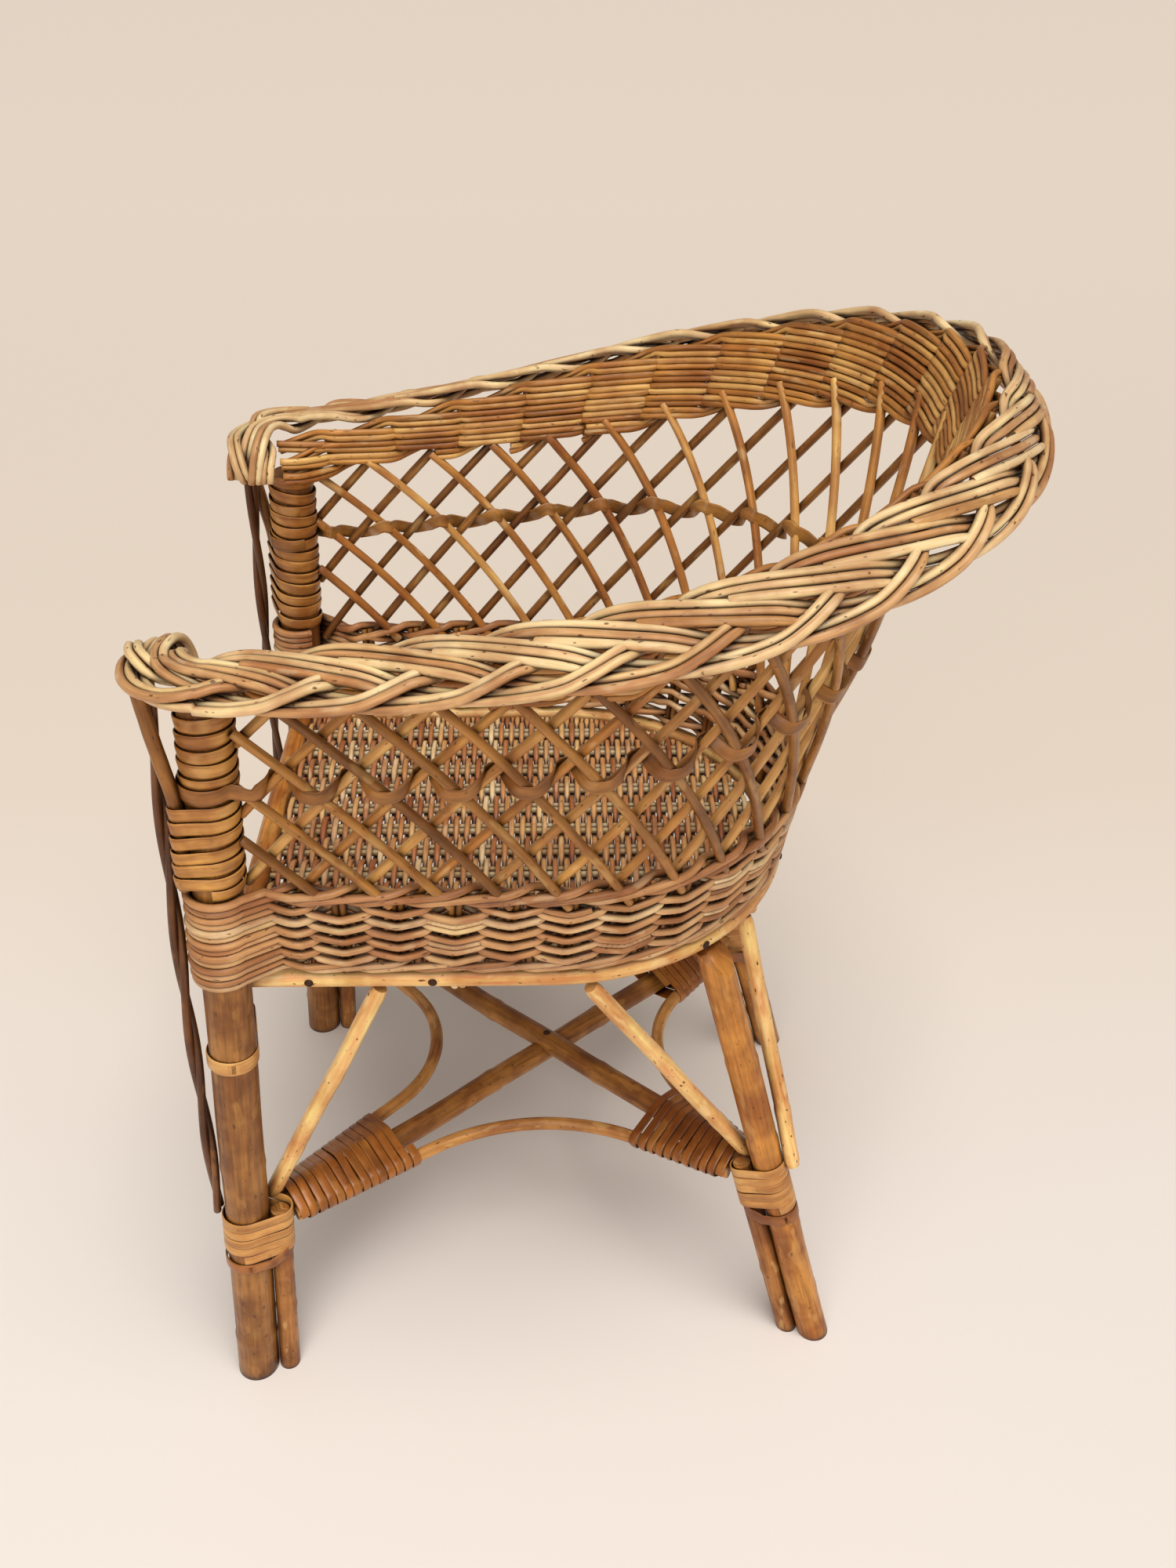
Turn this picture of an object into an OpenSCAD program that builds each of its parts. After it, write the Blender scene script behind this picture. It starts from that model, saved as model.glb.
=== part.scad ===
// Child's wicker armchair. Stick frame, woven seat, open lattice wall and plaited rim.
// Origin on the floor under the middle of the chair. The sitter looks along -Y, +X is the
// sitter's left, +Z is up. All sizes are in millimetres and all angles in degrees.

/* [Seat] */
// Height of the seat hoop's centre line above the floor
seat_h = 275; // [250:1:300]
// Radius of the round back of the seat, to the middle of the hoop
seat_r = 119; // [112:1:126]
// Where the round back of the seat has its centre, along Y
seat_y = -23.5; // [-32:0.1:-12]
// Thickness of the hoop
hoop_d = 10; // [8:0.5:12]
// Thickness of the rail between the front posts
rail_d = 12; // [9:0.5:14]
// Thickness of the round rod that the seat lies on
under_rod_d = 6; // [4:0.5:8]
// How far the under rod runs inside the hoop
under_rod_in = 13; // [12:0.5:18]
// Thickness of a seat stake
stake_d = 4; // [3:0.1:5]
// Distance from one pair of seat stakes to the next
stake_pitch = 15.4; // [13:0.1:20]
// Thickness of a seat weaver
weaver_d = 3.2; // [2.5:0.1:3.7]
// Distance from one seat weaver to the next
weaver_pitch = 4; // [3.8:0.1:6]

/* [Front posts] */
// Thickness of a front post
post_d = 23; // [19:0.5:26]
// How far a post stands outside the hoop's centre line, at seat height
post_out = 9.3; // [7:0.1:12]
// Where the front posts stand at seat height, along Y
post_y = -177.1; // [-185:0.5:-168]
// How far a post's top stays under the lowest row beneath the rim, at the arm's front
post_under_rows = 1.2; // [0.6:0.1:3]
// Outward lean of a post, sideways per millimetre of height
post_splay_x = 0.041; // [0.02:0.001:0.06]
// Forward lean of a post, per millimetre of height
post_splay_y = 0.0586; // [0.04:0.001:0.075]

/* [Rear legs] */
// Thickness of a rear leg
leg_d = 17.2; // [14:0.2:20]
// Where a rear leg meets the hoop, as an angle round the seat's back
leg_angle = 41; // [38:0.5:46]
// Outward lean of a rear leg, sideways per millimetre of height
leg_splay_x = 0.109; // [0.09:0.001:0.13]
// Backward lean of a rear leg, per millimetre of height
leg_splay_y = 0.259; // [0.23:0.001:0.28]

/* [Foot sticks and braces] */
// Thickness of the thin stick beside each leg
stick_d = 11.4; // [9:0.2:13]
// Height of a thin stick's top
stick_h = 124; // [118:1:132]
// Thickness of a brace
brace_d = 8.6; // [7:0.2:10]
// Distance of a front brace's top from its post, along Y
front_brace_run = 71; // [60:1:84]
// Distance of a rear side brace's top from the centre of the seat's back, forwards
rear_brace_run = -19; // [-30:1:-8]
// Where a back brace meets the hoop, as an angle round the seat's back
back_brace_angle = 56; // [54:0.5:62]

/* [Stretcher] */
// Height of the middle of the crossed bars
bar_z = 113; // [105:1:120]
// Thickness of a crossed bar
bar_d = 13; // [11:0.2:15]
// How far the upper bar's centre lies above the lower bar's
bar_step = 6; // [4:0.5:9]
// Thickness of a bowed rod
bow_d = 7.4; // [6:0.2:8.4]
// Distance of a side bow's nearest point from the crossing
bow_gap = 64; // [58:1:70]
// Distance from a bar's middle to a bow's, where the wrap ends
bow_spread = 20; // [17:0.5:22]
// Length of a corner wrap along the bar
corner_wrap_l = 68; // [55:1:72]

/* [Bindings] */
// Width of a strip of skein
skein_w = 5.4; // [4.5:0.1:5.8]
// Thickness of a strip of skein
skein_t = 0.9; // [0.7:0.1:1.2]
// Rise of a winding in one turn
skein_pitch = 6.2; // [6.2:0.1:7]
// Turns in a leg binding
binding_turns = 5; // [3:1:6]
// Height of the middle of a leg binding
binding_z = 106; // [102:1:108]

/* [Lower band] */
// Thickness of a band weaver
band_d = 5; // [4:0.1:5.2]
// Distance from one row of the band to the next
band_pitch = 5.5; // [5.5:0.1:6]
// Rows in the band
band_count = 9; // [6:1:10]

/* [Wall] */
// Outward bulge of the wall half way up
wall_bulge = 5; // [3:0.5:7]
// How late the wall starts to flare, as a power of the height
wall_flare = 1.6; // [1.2:0.1:2]
// Thickness of a lattice rod
lattice_d = 4.5; // [3.6:0.1:4.8]
// Distance from one lattice rod to the next, in steps of the wall
lattice_step = 12.9; // [11:0.1:16]
// How many of those distances a lattice rod spans
lattice_span = 2.84; // [2:0.01:3.5]
// How far the twisted row stays under the rim's inner edge, at the arm's front
twist_under_rim = 63.5; // [50:0.5:75]
// Rise of the twisted row for each millimetre that the rim rises
twist_rise = 0.3; // [0.2:0.01:0.4]
// Height of a row under the rim
wale_h = 6.4; // [5.5:0.1:7]
// Depth of a row under the rim
wale_t = 5; // [4:0.1:5.6]

/* [Rim] */
// Half width between the rim's inner edges at the arms' fronts
rim_front_x = 122; // [116:1:128]
// Half width between the rim's inner edges where they are widest
rim_side_x = 147.3; // [140:0.1:154]
// Where the rim's inner edge starts at the arm's front, along Y
rim_front_y = -179.5; // [-183:0.1:-172]
// Where the rim's round back has its centre, along Y
rim_side_y = 18.5; // [12:0.1:30]
// Where the rim's inner edge is furthest back, along Y
rim_back_y = 179.1; // [172:0.1:190]
// Height of the rim's inner edge at the arm's front
rim_h = 455.5; // [448:0.5:462]
// Rise of the rim from the arm's front to the back
rim_rise = 86; // [70:1:100]
// Width of the rim's plait
plait_w = 39; // [35:0.5:42]
// Width of one strand of the plait
strand_w = 11; // [9:0.2:12]
// Thickness of one strand of the plait
strand_t = 4; // [3.4:0.1:4.2]
// Length in which a strand of the plait returns to its place
plait_cycle = 120; // [110:1:140]
// Tilt of the plait at the arm's front
plait_tilt_front = 4; // [0:1:10]
// Tilt of the plait at the middle of the back
plait_tilt_back = 53; // [40:1:58]

/* [Apron] */
// Thickness of an apron rod
apron_d = 4.6; // [3.6:0.1:5]
// Rods in the apron
apron_count = 4; // [2:1:5]
// Radius of the outer apron rod's bend
apron_r = 26; // [24:1:30]
// Length of an apron rod's straight lower end
apron_tail = 10; // [6:1:16]

/* [Hidden] */

gap = 0.3; // clearance between pieces that rest on each other
cut = 60; // size of the blocks that trim ends
stick_color = "#b87333";
bark_color = "#a5642a";
skein_color = "#c48a4a";
willow_color = "#d2a05c";
dark_willow = "#8a5a2b";

// Points along a front post and a rear leg, by height, on the sitter's left
function post_at(z) = [seat_r + post_out + post_splay_x * (seat_h - z),
    post_y - post_splay_y * (seat_h - z), z];
function leg_at(z) = [seat_r * cos(leg_angle) + leg_splay_x * (seat_h - z),
    seat_y + seat_r * sin(leg_angle) + leg_splay_y * (seat_h - z), z];
function on_hoop(a, z) = [seat_r * cos(a), seat_y + seat_r * sin(a), z];
function flip(p) = [-p.x, p.y, p.z];
function unit(v) = v / norm(v);
function turned(a, r) = [r * cos(a), r * sin(a), 0];

// Directions along a post or a leg, and square to it
post_dir = unit(post_at(1) - post_at(0));
leg_dir = unit(leg_at(1) - leg_at(0));
function axis_x(dir) = unit([1, 0, 0] - dir * dir.x);
function axis_y(dir) = cross(dir, axis_x(dir));
function beside(p, dir) = axis_x(dir) * p.x + axis_y(dir) * p.y;

// A round stick from one point to another, turned a little about its own axis so that its
// seam lies off the plane of its lean
seam_turn = 37;

module stick(from, to, d) {
    v = to - from;
    translate(from)
        rotate([0, acos(v.z / norm(v)), atan2(v.y, v.x)])
            rotate([0, 0, seam_turn]) cylinder(h = norm(v), d = d, $fn = 48);
}

// Draws its children as they are, or mirrored for the sitter's right
module on_side(s) {
    mirror([s < 0 ? 1 : 0, 0, 0]) children();
}

// Keeps what stands above the floor
module above_floor(p) {
    difference() {
        children();
        translate([p.x - cut / 2, p.y - cut / 2, -cut]) cube(cut);
    }
}

// Sections for swept pieces: a round one with few sides, and a flat strip
function round_section(r, n) = [for (i = [0:n - 1]) [r * cos(360 * i / n), r * sin(360 * i / n)]];
function flat_section(w, t) = [[w / 2, -t / 2], [w / 2, t / 2], [-w / 2, t / 2], [-w / 2, -t / 2]];
function strand_section(w, t) = [[w / 2, 0], [w / 2 - t / 2, t / 2], [t / 2 - w / 2, t / 2],
    [-w / 2, 0], [t / 2 - w / 2, -t / 2], [w / 2 - t / 2, -t / 2]];

// One section across a path, with its second axis held near the direction up
function ring_at(c, along, up, section) =
    let (side = unit(cross(along, up)), top = cross(side, unit(along)))
    [for (p = section) c + side * p.x + top * p.y];

// Sections all along a path; ups holds one direction for each point
function sweep_rings(path, ups, section) =
    let (last = len(path) - 1)
    [for (i = [0:last])
        ring_at(path[i], path[min(i + 1, last)] - path[max(i - 1, 0)], ups[i], section)];

// A closed skin over a list of sections
module loft(rings) {
    n = len(rings[0]);
    m = len(rings);
    points = [for (ring = rings) for (p = ring) p];
    walls = [for (i = [0:m - 2]) for (j = [0:n - 1]) for (half = [0, 1])
        half == 0
            ? [i * n + j, (i + 1) * n + (j + 1) % n, i * n + (j + 1) % n]
            : [i * n + j, (i + 1) * n + j, (i + 1) * n + (j + 1) % n]];
    first_end = [for (j = [1:n - 2]) [0, j, j + 1]];
    last_end = [for (j = [1:n - 2]) [(m - 1) * n, (m - 1) * n + j + 1, (m - 1) * n + j]];
    polyhedron(points = points, faces = concat(walls, first_end, last_end));
}

// Least distance between a winding's turn and the next, less the strip's width
function least_gap(path, per_turn, width) =
    min([for (i = [0:len(path) - 1 - per_turn]) norm(path[i + per_turn] - path[i])]) - width;

// Outline round several round sticks lying side by side, each [x, y, radius]. The corner
// at one angle is where the tangents on either side of it meet.
function reach_at(sticks, a) = max([for (s = sticks) s.x * cos(a) + s.y * sin(a) + s.z]);
function corner_at(sticks, a, half) =
    let (low = a - half, high = a + half, p = reach_at(sticks, low), q = reach_at(sticks, high))
    [p * sin(high) - q * sin(low), q * cos(low) - p * cos(high)] / sin(2 * half);

// Front posts, rear legs and the thin sticks beside them
module front_post(s) {
    color(stick_color) on_side(s)
        above_floor(post_at(0))
            stick(post_at(-10), post_at(post_h), post_d);
}

leg_top = seat_h - max(hoop_d / 2, stake_d / 2 + gap + weaver_d) - gap;

module rear_leg(s) {
    color(stick_color) on_side(s)
        difference() {
            above_floor(leg_at(0)) stick(leg_at(-10), leg_at(seat_h), leg_d);
            translate([leg_at(seat_h).x - cut / 2, leg_at(seat_h).y - cut / 2, leg_top])
                cube(cut);
        }
}

front_stick_shift = [-1.5, (post_d + stick_d) / 2 + gap, 0];
rear_stick_shift = [-3, -(leg_d + stick_d) / 2 * norm([leg_splay_x, leg_splay_y, 1]), 0];

module foot_stick(s, front) {
    shift = front ? front_stick_shift : rear_stick_shift;
    low = (front ? post_at(-10) : leg_at(-10)) + shift;
    high = (front ? post_at(stick_h) : leg_at(stick_h)) + shift;
    color(bark_color) on_side(s) above_floor(low) stick(low, high, stick_d);
}

// Outline of a leg and its thin stick across the leg, grown by a margin
function bound_sticks(front, grow) =
    let (shift = front ? front_stick_shift : rear_stick_shift, dir = front ? post_dir : leg_dir)
    [[0, 0, (front ? post_d : leg_d) / 2 + grow],
     [shift * axis_x(dir), shift * axis_y(dir), stick_d / 2 + grow]];
binding_points = 10;
binding_in = 1.5 * gap;
bound_out = binding_in + skein_t + gap;
bound_h = 50;
function bound_corners(front) = [for (i = [0:binding_points - 1])
    corner_at(bound_sticks(front, bound_out), 360 * i / binding_points, 180 / binding_points)];

// Block that fills a bound leg and stick, at the height of the bars
module bound_block(front) {
    c = front ? post_at(bar_z) : leg_at(bar_z);
    dir = front ? post_dir : leg_dir;
    x = axis_x(dir);
    y = axis_y(dir);
    multmatrix([[x.x, y.x, dir.x, c.x], [x.y, y.y, dir.y, c.y], [x.z, y.z, dir.z, c.z]])
        translate([0, 0, -bound_h / 2]) linear_extrude(bound_h)
            polygon(bound_corners(front));
}

module clear_of_legs() {
    difference() {
        children();
        for (s = [-1, 1], front = [true, false]) on_side(s) bound_block(front);
    }
}

// Crossed bars. Each runs from a front post to the rear leg of the other side.
front_corner = post_at(bar_z);
rear_corner = leg_at(bar_z);
bar_share = front_corner.x / (front_corner.x + rear_corner.x);
crossing = front_corner + (flip(rear_corner) - front_corner) * bar_share;
bar_dir = unit(front_corner - crossing);
bar_slant = atan2(-bar_dir.y, bar_dir.x);

module bar(s, z, grow) {
    lift = [0, 0, z];
    on_side(s) stick(front_corner + lift, flip(rear_corner) + lift, bar_d + grow);
}

module cross_bar_upper() {
    color(stick_color) clear_of_legs() bar(-1, bar_step / 2, 0);
}

module cross_bar_lower() {
    color(stick_color) difference() {
        clear_of_legs() bar(1, -bar_step / 2, 0);
        bar(-1, bar_step / 2, gap);
    }
}

// Bowed rods. Each has an arc that bends towards the crossing, and two straight ends that
// run on from the arc and close in on the bars. wedge is half the angle between the two
// bars that it joins.
end_lateral = (bar_d + bow_d) / 2 + gap;

// The ends are a little thinner than the arc and start inside it
bow_thin = bow_d - 0.2;
bow_in = 1;
function bow_radius(wedge, nearest) =
    (nearest - bow_spread / sin(wedge)) * sin(wedge) / (1 - sin(wedge));

// Where a straight end stops, and the angle round the arc at which it starts
function bow_tip(wedge, reach) = [cos(wedge) * reach + sin(wedge) * end_lateral,
    sin(wedge) * reach - cos(wedge) * end_lateral, 0];
function bow_turn(wedge, nearest, reach) =
    let (r = bow_radius(wedge, nearest), v = bow_tip(wedge, reach) - [nearest + r, 0, 0])
    atan2(v.y, v.x) + acos(r / norm(v));

// Point at which a straight end starts, and its distance along the bar and across it
function bow_start(wedge, nearest, reach) =
    let (r = bow_radius(wedge, nearest)) [nearest + r, 0, 0]
    + turned(bow_turn(wedge, nearest, reach), r);
function bow_place(wedge, nearest, reach) =
    let (p = bow_start(wedge, nearest, reach))
    [p.x * cos(wedge) + p.y * sin(wedge), p.x * sin(wedge) - p.y * cos(wedge)];

function bow_end(wedge, nearest, reach) =
    norm(bow_tip(wedge, reach) - bow_start(wedge, nearest, reach));

module bow(turn, wedge, nearest, reach_low, reach_high) {
    r = bow_radius(wedge, nearest);
    low = bow_turn(wedge, nearest, reach_low);
    high = bow_turn(wedge, nearest, reach_high);
    arc = 360 - low - high;
    translate(crossing) rotate([0, 0, turn]) translate([nearest + r, 0, 0])
        rotate([0, 0, high]) {
            rotate_extrude(angle = arc, $fn = 96) translate([r, 0]) circle(d = bow_d, $fn = 32);
            translate([r, bow_in, 0]) rotate([90, 0, 0])
                cylinder(h = bow_in + bow_end(wedge, nearest, reach_high), d = bow_thin,
                    $fn = 32);
            rotate([0, 0, arc]) translate([r, -bow_in, 0]) rotate([-90, 0, 0])
                cylinder(h = bow_in + bow_end(wedge, nearest, reach_low), d = bow_thin,
                    $fn = 32);
        }
}

// Room for a leg's lean beside its binding
bound_room = 2;

// How far the bows and their wraps reach along the bars before they meet a bound leg
function bound_reach(front) =
    let (axis = front ? post_dir : leg_dir, dir = [-bar_dir.x, front ? -bar_dir.y : bar_dir.y, 0])
    max([for (p = bound_corners(front)) beside(p, axis) * dir]) + bound_room;
front_reach = norm(front_corner - crossing) - bound_reach(true);
rear_reach = norm(flip(rear_corner) - crossing) - bound_reach(false);
front_bow_gap = bow_gap + 3;

module bow_side(s) {
    color(bark_color) on_side(s) bow(0, bar_slant, bow_gap, front_reach, rear_reach);
}

module bow_front() {
    color(bark_color) bow(-90, 90 - bar_slant, front_bow_gap, front_reach, front_reach);
}

module bow_back() {
    color(bark_color) bow(90, 90 - bar_slant, front_bow_gap, rear_reach, rear_reach);
}

// Corner wraps: one strip wound round a bar and the two bows beside it
wrap_points = 8;
wrap_clear = 1.5;

// Distance between bar and bow at a distance from the crossing, on the arc or beyond it
function bow_lateral(d, wedge, nearest, reach) =
    let (place = bow_place(wedge, nearest, reach), f = (d - place[0]) / (reach - place[0]),
         r = bow_radius(wedge, nearest), c = nearest + r)
    f > 0 ? place[1] + (end_lateral - place[1]) * f
          : c * sin(wedge) - sqrt(pow(r, 2) - pow(c * cos(wedge) - d, 2));

function corner_sticks(d, reach) =
    let (side = bow_lateral(d, bar_slant, bow_gap, reach),
         end = bow_lateral(d, 90 - bar_slant, front_bow_gap, reach), r = bow_d / 2 + wrap_clear)
    [[0, 0, bar_d / 2 + bar_step / 2 + wrap_clear], [side, 0, r], [-end, 0, r]];

function corner_path(reach) =
    let (turns = floor((corner_wrap_l - skein_w) / skein_pitch))
    [for (i = [0:turns * wrap_points])
        let (a = 360 * i / wrap_points,
             d = reach - skein_w / 2 - skein_pitch * i / wrap_points,
             o = corner_at(corner_sticks(d, reach), a, 180 / wrap_points))
        [d, o.x, o.y]];

// Places a point of a wrap: distance along the bar, across it towards the side bow, and up
function along_bar(p, dir) = crossing + dir * p.x
    + [abs(dir.y), -sign(dir.y) * dir.x, 0] * p.y + [0, 0, p.z];

module corner_wrap(s, front) {
    reach = front ? front_reach : rear_reach;
    dir = front ? bar_dir : [bar_dir.x, -bar_dir.y, 0];
    flat_path = corner_path(reach);
    path = [for (p = flat_path) along_bar(p, dir)];
    ups = [for (i = [0:len(path) - 1]) let (a = 360 * i / wrap_points)
        along_bar([0, cos(a), sin(a)], dir) - crossing];
    echo("least gap of a corner wrap to itself", least_gap(path, wrap_points, skein_w));
    color(skein_color) on_side(s)
        loft(sweep_rings(path, ups, flat_section(skein_w, skein_t)));
}

// Leg bindings: a strip wound round a leg and the stick beside it
function winding_path(sticks, z_low, turns, pitch, points) =
    [for (i = [0:turns * points])
        let (o = corner_at(sticks, 360 * i / points, 180 / points))
        [o.x, o.y, z_low + pitch * i / points]];
function winding_ups(path, points) = [for (i = [0:len(path) - 1]) turned(360 * i / points, 1)];

module leg_binding(s, front) {
    sticks = bound_sticks(front, binding_in + skein_t / 2);
    z_low = binding_z - binding_turns * skein_pitch / 2;
    local = winding_path(sticks, z_low, binding_turns, skein_pitch, binding_points);
    dir = front ? post_dir : leg_dir;
    path = [for (p = local) (front ? post_at(p.z) : leg_at(p.z)) + beside(p, dir)];
    ups = [for (u = winding_ups(path, binding_points)) beside(u, dir)];
    echo("least gap of a leg binding to itself", least_gap(path, binding_points, skein_w));
    color(willow_color) on_side(s)
        loft(sweep_rings(path, ups, flat_section(skein_w, skein_t)));
}

// Braces from the legs up to the underside of the hoop
brace_low = stick_h + 2;
brace_top = seat_h - hoop_d / 2 - gap - brace_d / 4;
front_brace_turn = 130;
side_brace_turn = -125;
back_brace_turn = 75;

module brace(from, to) {
    color(stick_color) stick(from, to, brace_d);
}

module front_brace(s) {
    on_side(s) brace(
        post_at(brace_low) + turned(front_brace_turn, (post_d + brace_d) / 2 + 2 * gap),
        [seat_r, post_y + front_brace_run, brace_top]);
}

module rear_side_brace(s) {
    on_side(s) brace(
        leg_at(brace_low) + turned(side_brace_turn, (leg_d + brace_d) / 2 + 2 * gap),
        [seat_r, seat_y - rear_brace_run, brace_top]);
}

module rear_back_brace(s) {
    on_side(s) brace(
        leg_at(brace_low) + turned(back_brace_turn, (leg_d + brace_d) / 2 + 2 * gap),
        on_hoop(back_brace_angle, brace_top));
}

// Bent rod in the shape of the seat: two straight sides and a round back
module bent_rod(r, y_back, y_front, z, d) {
    translate([0, y_back, z]) rotate_extrude(angle = 180, $fn = 128)
        translate([r, 0]) circle(d = d, $fn = 32);
    for (s = [-1, 1])
        translate([s * r, y_back, z]) rotate([90, 0, 0])
            cylinder(h = y_back - y_front, d = d, $fn = 32);
}

module seat_hoop() {
    color(willow_color) difference() {
        bent_rod(seat_r, seat_y, post_y + rail_d / 2 + gap, seat_h, hoop_d);
        for (s = [-1, 1]) on_side(s)
            stick(post_at(seat_h - cut), post_at(seat_h + cut), post_d + 2 * gap);
    }
}

under_rod_z = seat_h - stake_d / 2 - gap - weaver_d - gap - under_rod_d / 2;

module under_seat_rod() {
    front_end = post_y + (rail_d + under_rod_d) / 2;
    color(bark_color)
        bent_rod(seat_r - under_rod_in, seat_y, front_end, under_rod_z, under_rod_d);
}

module front_rail() {
    end = post_at(seat_h);
    color(stick_color) difference() {
        stick(end, flip(end), rail_d);
        for (s = [-1, 1]) on_side(s)
            stick(post_at(seat_h - cut), post_at(seat_h + cut), post_d + 2 * gap);
    }
}

// Woven seat. Pairs of stakes run from front to back, and the weavers cross them in turn
// above and below.
seat_in = seat_r - hoop_d / 2 - gap;
seat_front = post_y + rail_d / 2 + gap;
pair_count = floor((seat_in - stake_d) / stake_pitch);

module seat_stakes() {
    color(willow_color)
        for (i = [-pair_count:pair_count], s = [-1, 1]) {
            x = (i + 0) * stake_pitch + s * (stake_d + gap) / 2;
            back = seat_y + sqrt(pow(seat_in, 2) - pow(abs(x) + stake_d / 2, 2));
            translate([x, seat_front, seat_h]) rotate([-90, 0, 0])
                cylinder(h = back - seat_front, d = stake_d, $fn = 24);
        }
}

weaver_level = (stake_d + weaver_d) / 2 + gap;
weaver_count = floor((seat_y + seat_in - seat_front - weaver_pitch) / weaver_pitch);

module seat_weavers() {
    color(skein_color)
        for (i = [0:weaver_count - 1]) {
            y = seat_front + weaver_pitch * (i + 0.6);
            over = max(0, y + weaver_d / 2 - seat_y);
            half = sqrt(pow(seat_in, 2) - pow(over, 2));
            level = i % 2 == 0 ? weaver_level : -weaver_level;
            translate([-half, y, seat_h + level]) rotate([0, 90, 0])
                cylinder(h = 2 * half, d = weaver_d, $fn = 20);
        }
}

// Apron: rods side by side that run under the front rail and bend down at the posts
apron_x = post_at(seat_h).x - post_d / 2 - 2 * gap - apron_d / 2 - apron_r;
apron_z = seat_h - rail_d / 2 - gap - apron_d / 2 - apron_r;

module apron_rods() {
    color(dark_willow)
        for (i = [0:apron_count - 1]) {
            r = apron_r - i * (apron_d + gap);
            for (s = [-1, 1]) on_side(s) {
                translate([apron_x, post_y, apron_z]) rotate([90, 0, 0])
                    rotate_extrude(angle = 90, $fn = 64)
                        translate([r, 0]) circle(d = apron_d, $fn = 24);
                translate([apron_x + r, post_y, apron_z - apron_tail])
                    cylinder(h = apron_tail, d = apron_d, $fn = 24);
            }
            translate([-apron_x, post_y, apron_z + r]) rotate([0, 90, 0])
                cylinder(h = 2 * apron_x, d = apron_d, $fn = 24);
        }
}

// Strap round a post and the ends of the apron rods
strap_points = 14;
strap_w = 8;

module apron_strap(s) {
    z = apron_z - apron_tail / 2;
    grow = gap + skein_t / 2;
    reach = apron_x + apron_r - (apron_count - 1) * (apron_d + gap);
    sticks = [[0, 0, post_d / 2 + grow],
        [reach - post_at(z).x, post_y - post_at(z).y, apron_d / 2 + grow]];
    path = [for (i = [0:strap_points - 1])
        let (o = corner_at(sticks, 360 * i / strap_points, 180 / strap_points))
        [o.x, o.y, 0] + post_at(z)];
    section = flat_section(strap_w, skein_t);
    rings = [for (i = [0:strap_points - 1])
        ring_at(path[i], path[(i + 1) % strap_points] - path[(i + strap_points - 1) % strap_points],
            turned(360 * i / strap_points, 1), section)];
    color(willow_color) on_side(s) closed_loft(rings);
}

// A closed skin over a list of sections that meets its own start
module closed_loft(rings) {
    n = len(rings[0]);
    m = len(rings);
    points = [for (ring = rings) for (p = ring) p];
    walls = [for (i = [0:m - 1]) for (j = [0:n - 1]) for (half = [0, 1])
        let (k = (i + 1) % m)
        half == 0
            ? [i * n + j, k * n + (j + 1) % n, i * n + (j + 1) % n]
            : [i * n + j, k * n + j, k * n + (j + 1) % n]];
    polyhedron(points = points, faces = walls);
}

// The wall is a surface between the hoop and the rim. A step t runs from one arm's front
// round the back to the other's, and z is the height. The straight side takes the first
// side_steps and the round back one step for each degree.
side_steps = 68;
last_step = 2 * side_steps + 180;
hoop_front_y = post_y + 18.6;

// Share of the way along the straight side, and the angle round the back
function side_share(t) = min(1, min(t, last_step - t) / side_steps);
function back_turn(t) = min(180, max(0, t - side_steps));
function side_sign(t) = t < last_step / 2 ? 1 : -1;

function wall_foot(t) =
    let (f = side_share(t), a = back_turn(t))
    f < 1 ? [side_sign(t) * seat_r, hoop_front_y + (seat_y - hoop_front_y) * f]
          : [seat_r * cos(a), seat_y + seat_r * sin(a)];

// The rim's inner edge swings outwards along the arm, and its rise grows to the back
rim_swing = 1.25;
rim_power = 1.41;
function rim_xy(t) =
    let (f = side_share(t), a = back_turn(t),
         x = rim_front_x + (rim_side_x - rim_front_x) * (rim_swing * f - (rim_swing - 1) * pow(f, 5)))
    f < 1 ? [side_sign(t) * x, rim_front_y + (rim_side_y - rim_front_y) * f]
          : [rim_side_x * cos(a), rim_side_y + (rim_back_y - rim_side_y) * sin(a)];
function rim_at(t) =
    let (p = rim_xy(t), f = max(0, (p.y - rim_front_y) / (rim_back_y - rim_front_y)))
    [p.x, p.y, rim_h + rim_rise * pow(f, rim_power)];

function wall_out(t) = let (a = back_turn(t)) [cos(a), sin(a)];
function wall_at(t, z) =
    let (u = rim_at(t), h = wall_foot(t), f = min(1, max(0, (z - seat_h) / (u.z - seat_h))),
         p = h + ([u.x, u.y] - h) * pow(f, wall_flare) + wall_out(t) * wall_bulge * 4 * f * (1 - f))
    [p.x, p.y, z];
function wall_normal(t, z) =
    unit(cross(wall_at(t + 1, z) - wall_at(t - 1, z), wall_at(t, z + 2) - wall_at(t, z - 2)));

// Lower band: rows stacked on the hoop, each with the wall's width and depth at its height
function band_z(i) = seat_h + hoop_d / 2 + gap + band_d / 2 + i * band_pitch;
band_top = band_z(band_count - 1) + band_d / 2;
turn_points = 9;
turns_r = (post_d / 2 + gap + band_d / 2) / cos(180 / turn_points) + band_d / 2;

// Rows two by two, from the hoop up
module band_rows(pair) {
    color(willow_color)
        for (i = [2 * pair - 2:min(2 * pair, band_count) - 1]) {
            z = band_z(i);
            r = wall_at(side_steps, z).x;
            back = wall_at(last_step / 2, z).y - r;
            bent_rod(r, back, post_at(z).y + turns_r + gap, z, band_d);
        }
}

// The band's weavers turn round the posts, and flat skein covers the posts above them
module winding(s, z_low, turns, pitch, r, section, width) {
    local = winding_path([[0, 0, r]], z_low, turns, pitch, turn_points);
    path = [for (p = local) post_at(p.z) + beside(p, post_dir)];
    ups = [for (u = winding_ups(path, turn_points)) beside(u, post_dir)];
    echo("least gap of a post winding to itself", least_gap(path, turn_points, width));
    on_side(s) loft(sweep_rings(path, ups, section));
}

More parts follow.
